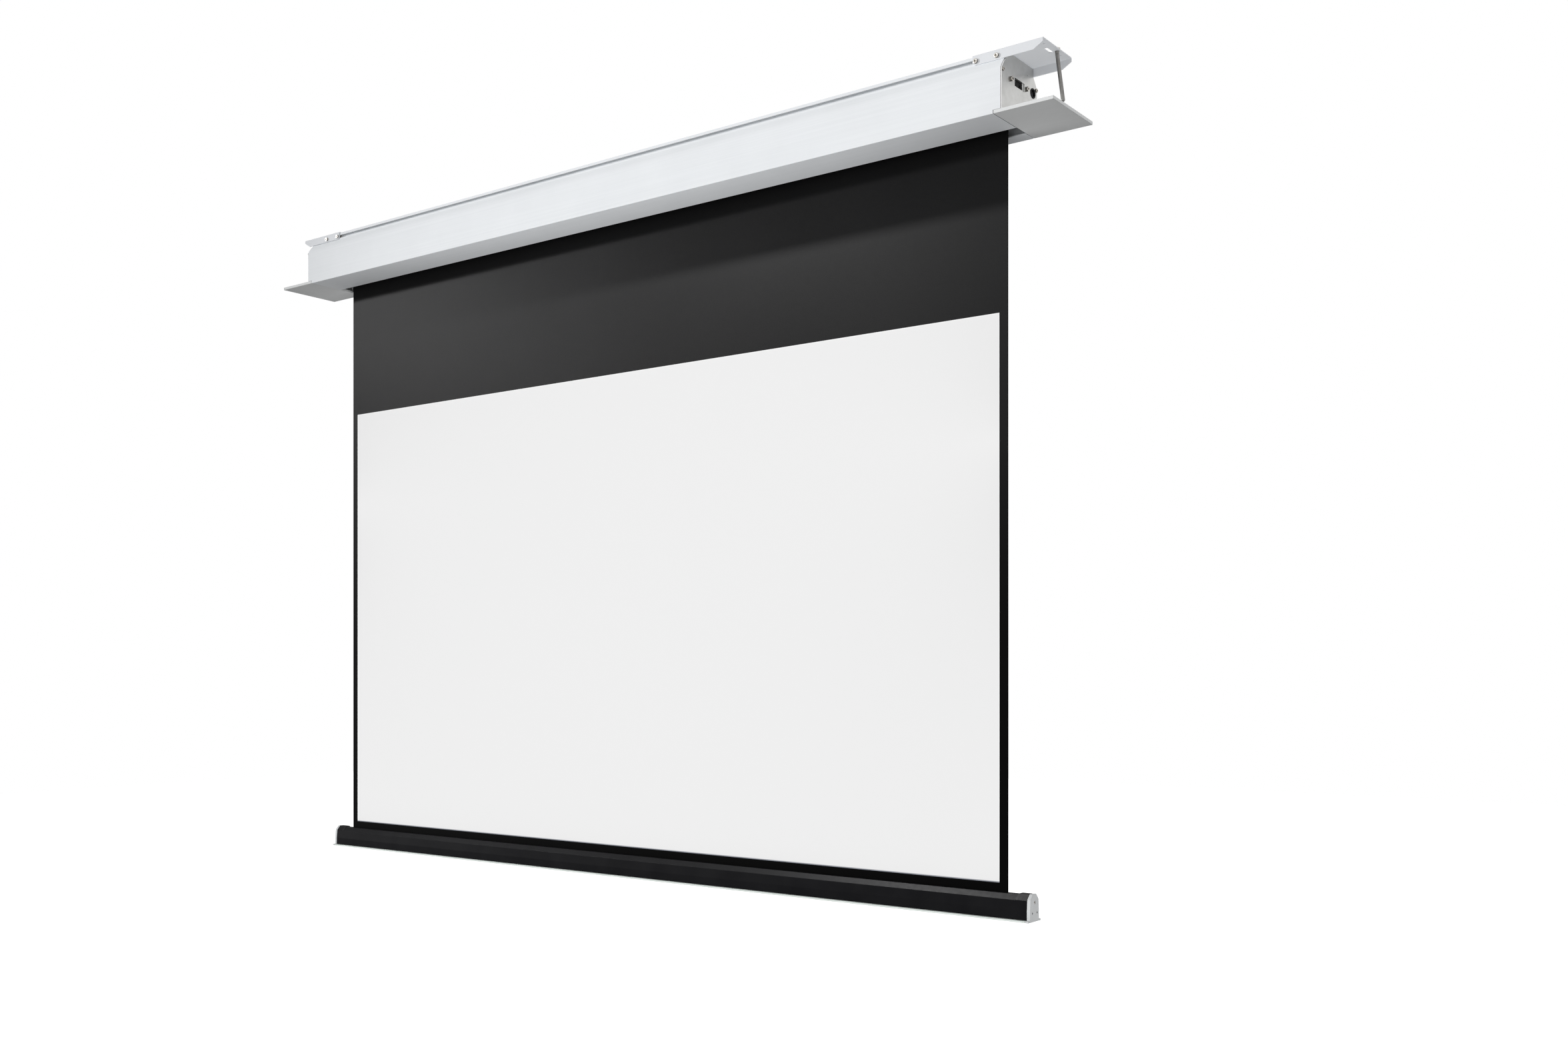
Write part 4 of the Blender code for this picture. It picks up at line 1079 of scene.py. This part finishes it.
def make_cloth():
    """The hanging cloth with its image layer, and the turns on the roller."""
    top, bottom = CLOTH_HIGH.z, CLOTH_LOW.z
    front = CLOTH_LOW.y
    mesh = sheet_mesh(-HALF_CLOTH, HALF_CLOTH, bottom, top, front, CLOTH, CLOTH_ROWS)
    cloth = piece(
        "hanging_cloth", mesh, BLACK_CLOTH, "housing", "screen_cloth"
    )
    low, high = IMAGE_LOW, IMAGE_HIGH
    mesh = sheet_mesh(low.x, high.x, low.z, high.z, low.y, GAP, IMAGE_ROWS)
    image = piece(
        "image_layer", mesh, WHITE_IMAGE, "housing", "image_surface"
    )
    for sheet in (cloth, image):
        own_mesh(sheet)
    mesh = profile_mesh([wound_outline()], -HALF_CLOTH, HALF_CLOTH, 0.0)
    roll = piece("wound_turns", mesh, BLACK_CLOTH, "roller", "wound_cloth")


# -------- weight bar


def at_bar(points):
    """Points given from the middle of the bar's top, at their place below the cloth."""
    return [(CLOTH_Y + across, BAR_TOP + up, *rest) for across, up, *rest in points]


def make_bar():
    """The black extrusion with its slit for the keder, and the pale strip below it."""
    shell = [
        (-KEDER_SLIT, 0, 0.0003),
        (-HALF_TOP, 0, 0.0012),
        (-HALF_CREASE, -FACET_DROP, 0.0016),
        (-HALF_BAR, -FLARE_DROP, 0.006),
        (-HALF_BAR, -BAR_HEIGHT, 0.0006),
        (-HALF_BAR + BAR_WALL, -BAR_HEIGHT, 0.0005),
        (-HALF_BAR + BAR_WALL, -FLARE_DROP, 0.004),
        (-HALF_CREASE + 0.0019, -FACET_DROP - 0.0009, 0.0005),
        (-HALF_TOP + 0.0009, -BAR_WALL, 0.0004),
        (-0.006, -BAR_WALL, 0.0004),
        (-0.006, -0.012, 0.0006),
    ]
    inside = [
        (KEDER_SLIT, -BAR_WALL, 0.0003),
        (0.004, -BAR_WALL, 0.0004),
        (0.004, -0.010, 0.0006),
    ]
    outline = rounded(at_bar(shell + mirrored(shell) + inside + mirrored(inside)), 4)
    mesh = profile_mesh([outline], -BAR_END, BAR_END, CUT_EDGE)
    body = "weight_bar"
    piece("bar_shell", mesh, BAR_BLACK, body, "bar_extrusion")
    rib = HALF_BAR - BAR_WALL - GAP
    sole = -BAR_HEIGHT - GAP
    strip = [
        (-rib + 0.002, sole, 0.0005),
        (-rib + 0.002, -BAR_HEIGHT + 0.006, 0.0005),
        (-rib, -BAR_HEIGHT + 0.006, 0.0005),
        (-rib, sole, 0.0004),
        (-STRIP_HALF, sole, 0.0012),
        (-STRIP_HALF, sole - STRIP, 0.0016),
    ]
    outline = rounded(at_bar(strip + mirrored(strip)), 4)
    mesh = profile_mesh([outline], -BAR_END, BAR_END, SHEET_EDGE)
    piece("bar_strip", mesh, STRIP_PLASTIC, body, "bar_bottom_strip")


def hood_section(rise):
    """The hood's cross-section where it stands rise above the bar's top."""
    sheet = HOOD_LIFT + HOOD_SHEET
    crest = sheet + rise
    under = [(-HALF_CREASE, HOOD_LIFT - FACET_DROP), (-HALF_TOP, HOOD_LIFT)]
    over = [
        (-HALF_TOP - 0.0006, crest - 0.0006),
        (-HALF_CREASE, sheet - FACET_DROP + 0.05 * rise),
    ]
    top = [(-HALF_TOP + 0.0008, crest)]
    return at_bar(under + mirrored(under) + mirrored(over) + mirrored(top) + top + over)


def make_bar_end(side, name):
    """A hood with a sloped start, and an end cap with a joint line and screw recesses."""
    start = BAR_END - HOOD_LENGTH
    rise = HOOD_RAISE - HOOD_LIFT - HOOD_SHEET
    sections = [
        (side * start, hood_section(0.0)),
        (side * (start + HOOD_RAMP * 0.5), hood_section(rise * 0.62)),
        (side * (start + HOOD_RAMP), hood_section(rise)),
        (side * (BAR_END - 0.0002), hood_section(rise)),
    ]
    body = "weight_bar"
    mesh, node = loft_mesh(sections), f"bar_hood_{name}"
    piece(f"hood_{name}", mesh, BAR_BLACK, body, node)
    inner = BAR_END + GAP
    outer = inner + CAP
    sole = -BAR_HEIGHT - GAP - STRIP
    front = [
        (-HALF_TOP, HOOD_RAISE, 0.002),
        (-HALF_CREASE, HOOD_RAISE - FACET_DROP, 0.003),
        (-HALF_BAR, -FLARE_DROP, 0.006),
        (-HALF_BAR, -BAR_HEIGHT, 0.0016),
        (-STRIP_HALF, -BAR_HEIGHT, 0.0012),
        (-STRIP_HALF, sole, 0.0016),
    ]
    outline = rounded(at_bar(front + mirrored(front)), 5)
    mesh = profile_mesh([outline], side * inner, side * outer, CAP_EDGE)
    cutters = []
    for end in ("top", "front", "rear"):
        low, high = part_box(f"bar_cap_screw_{name}_{end}")
        middle = (low + high) / 2
        radius = (high.y - low.y) / 2 + GAP
        profile = [(0, -0.02), (radius, -0.02), (radius, 0.02), (0, 0.02)]
        hole = turned_mesh(profile, SCREW_ROUND)
        seat = min(abs(low.x), abs(high.x)) + 0.0002
        hole.transform(Matrix.Translation((side * (seat + 0.02), middle.y, middle.z)) @ ALONG_X)
        cutters.append(hole)
    line = BAR_TOP - FLARE_DROP
    near, far = sorted((side * (outer - CAP_JOINT_DEPTH), side * (outer + 0.01)))
    corner = (near, CLOTH_Y - 0.03, line - CAP_JOINT / 2)
    cutters.append(box_mesh(corner, (far, CLOTH_Y + 0.03, line + CAP_JOINT / 2)))
    mesh, node = cut(mesh, *cutters), f"bar_cap_{name}"
    piece(f"cap_{name}", mesh, PALE_PLASTIC, body, node)


# -------- carried-over nodes


def dress_nodes():
    """Materials for the CAD nodes whose own shape is shown."""
    nut_bars = [f"nut_bar_{end}_{row}" for end in ("left", "right") for row in ("front", "rear")]
    looks = (
        (BARE_STEEL, ["motor_bracket", "idler_bracket"]),
        (DARK_STEEL, ["motor_body", "bar_ballast"]),
        (MILL_ALUMINIUM, ["roller_tube"]),
        (NICKEL, ["idler_pin", "idler_bearing", *nut_bars]),
        (BLACK_PLASTIC, ["motor_crown", "drive_wheel", "idler_plug", "motor_head", "bar_keder"]),
        (BLACK_PLASTIC, ["lower_limit_screw", "upper_limit_screw"]),
    )
    for material, names in looks:
        for name in names:
            mesh = frame["nodes"][name].data
            mesh.materials.clear()
            mesh.materials.append(material)


# -------- light, floor, camera


def seen_directly(tree):
    """1 for camera, glossy and transmission rays, and 0 for the rest."""
    path = tree.nodes.new("ShaderNodeLightPath")
    total = path.outputs["Is Camera Ray"]
    for name in ("Is Glossy Ray", "Is Transmission Ray"):
        either = tree.nodes.new("ShaderNodeMath")
        either.operation = "MAXIMUM"
        tree.links.new(total, either.inputs[0])
        tree.links.new(path.outputs[name], either.inputs[1])
        total = either.outputs[0]
    return total


def make_world():
    """A world that looks white and lights the object more softly."""
    world = bpy.data.worlds.new("studio")
    bpy.context.scene.world = world
    world.use_nodes = True
    tree = world.node_tree
    background = tree.nodes["Background"]
    background.inputs["Color"].default_value = (1, 1, 1, 1)
    strength = tree.nodes.new("ShaderNodeMapRange")
    tree.links.new(seen_directly(tree), strength.inputs["Value"])
    strength.inputs["To Min"].default_value = AMBIENT
    strength.inputs["To Max"].default_value = 1.0
    tree.links.new(strength.outputs["Result"], background.inputs["Strength"])


def add_stage(name, mesh, look):
    """An object that isn't part of the screen."""
    made = bpy.data.objects.new(name, mesh)
    mesh.materials.append(look.material)
    bpy.context.scene.collection.objects.link(made)
    return made


def make_floor():
    """A pale floor that keeps the object's shadow and looks white to the camera."""
    look = Recipe("pale_floor", 0.9, specular=0.0)
    noise = look.node("ShaderNodeTexNoise")
    noise.inputs["Scale"].default_value = 3.0
    shades = [(shade, shade, shade) for shade in FLOOR_SHADES]
    look.colour(look.mixed(noise.outputs["Fac"], *shades))
    glow = look.node("ShaderNodeEmission")
    strength = look.math("MULTIPLY", seen_directly(look.tree), FLOOR_GLOW)
    look.link(strength, glow.inputs["Strength"])
    both = look.node("ShaderNodeAddShader")
    look.link(look.shader.outputs[0], both.inputs[0])
    look.link(glow.outputs[0], both.inputs[1])
    look.link(both.outputs[0], look.tree.nodes["Material Output"].inputs["Surface"])
    work = bmesh.new()
    bmesh.ops.create_grid(work, x_segments=1, y_segments=1, size=FLOOR_HALF)
    bmesh.ops.translate(work, vec=(0, 0, FLOOR_Z), verts=work.verts)
    add_stage("floor", finished(work), look).visible_shadow = False


def make_flags():
    """Black cards, out of the camera's sight, that keep light off the housing's ends."""
    look = Recipe("flag_black", 0.9)
    look.shader.inputs["Base Color"].default_value = (0.01, 0.01, 0.01, 1)
    for name, corners in FLAGS.items():
        flag = add_stage(name, box_mesh(*corners), look)
        flag.visible_camera = False
        flag.visible_glossy = False


def add_lamp(name, kind, power, receivers=None, blockers=None):
    """A lamp that lights the receivers and is shaded by the blockers: all, where none is given."""
    data = bpy.data.lights.new(name, kind)
    data.energy = power
    lamp = bpy.data.objects.new(name, data)
    lamp.light_linking.receiver_collection = receivers
    lamp.light_linking.blocker_collection = blockers
    bpy.context.scene.collection.objects.link(lamp)
    return lamp


def sun(name, direction, strength, angle, glossy=True):
    """A distant lamp whose light comes from a direction, and which the cards don't shade."""
    lamp = add_lamp(name, "SUN", strength, blockers=PIECES)
    lamp.data.angle = math.radians(angle)
    lamp.rotation_euler = Vector(direction).to_track_quat("Z", "Y").to_euler()
    lamp.visible_glossy = glossy


def softbox(name, place, size, power, receivers, blockers=None):
    """A softbox that points up and is out of the camera's sight."""
    lamp = add_lamp(name, "AREA", power, receivers, blockers)
    lamp.data.shape = "RECTANGLE"
    lamp.data.size, lamp.data.size_y = size
    lamp.location = place
    lamp.rotation_euler = (math.pi, 0, 0)
    lamp.visible_camera = False
    lamp.visible_glossy = False


def sheen(name, place, power, receivers):
    """A small lamp that only shows as gloss, for the soft sheen on black cloth and paint."""
    lamp = add_lamp(name, "POINT", power, receivers, PIECES)
    lamp.data.shadow_soft_size = SHEEN_RADIUS
    lamp.location = place
    lamp.visible_diffuse = False


def gathered(name, *pieces):
    """A collection of pieces for a lamp to light."""
    group = bpy.data.collections.new(name)
    for item in pieces:
        group.objects.link(PIECES.objects[item])
    return group


def make_lamps():
    """Three suns, two softboxes below, and two sheen lamps for the black pieces."""
    sun("key", *KEY)
    sun("fill", *FILL, glossy=False)
    white = gathered("white_pieces", "housing_shell", "trim_right", "trim_left")
    hangers = gathered("hangers", "hanger_right", "hanger_left")
    softbox("under", *UNDER, white)
    softbox("under_hanger", *UNDER_HANGER, hangers, hangers)
    sun("side", *SIDE, glossy=False)
    black = gathered(
        "black_pieces", "hanging_cloth", "wound_turns", "bar_shell", "hood_right", "hood_left"
    )
    sheen("key_sheen", *KEY_SHEEN, black)
    sheen("top_sheen", *TOP_SHEEN, black)


def make_camera():
    """The photograph's camera: level, with its lens shifted up."""
    data = bpy.data.cameras.new("camera")
    data.lens = LENS
    data.sensor_width = 36.0
    data.shift_y = LENS_SHIFT
    data.clip_end = 200
    camera = bpy.data.objects.new("camera", data)
    camera.location = CAMERA_PLACE
    camera.rotation_euler = (math.radians(90), 0, CAMERA_TURN)
    bpy.context.scene.collection.objects.link(camera)
    bpy.context.scene.camera = camera


make_camera()
make_housing()
make_end_plates()
make_grommet()
for maker in (make_trim, make_bracket):
    maker(1, "right")
    maker(-1, "left")
make_rod()
place_screws()
make_cloth()
make_bar()
make_bar_end(1, "right")
make_bar_end(-1, "left")
dress_nodes()
make_world()
make_floor()
make_flags()
make_lamps()

bpy.context.scene.view_settings.view_transform = "Standard"
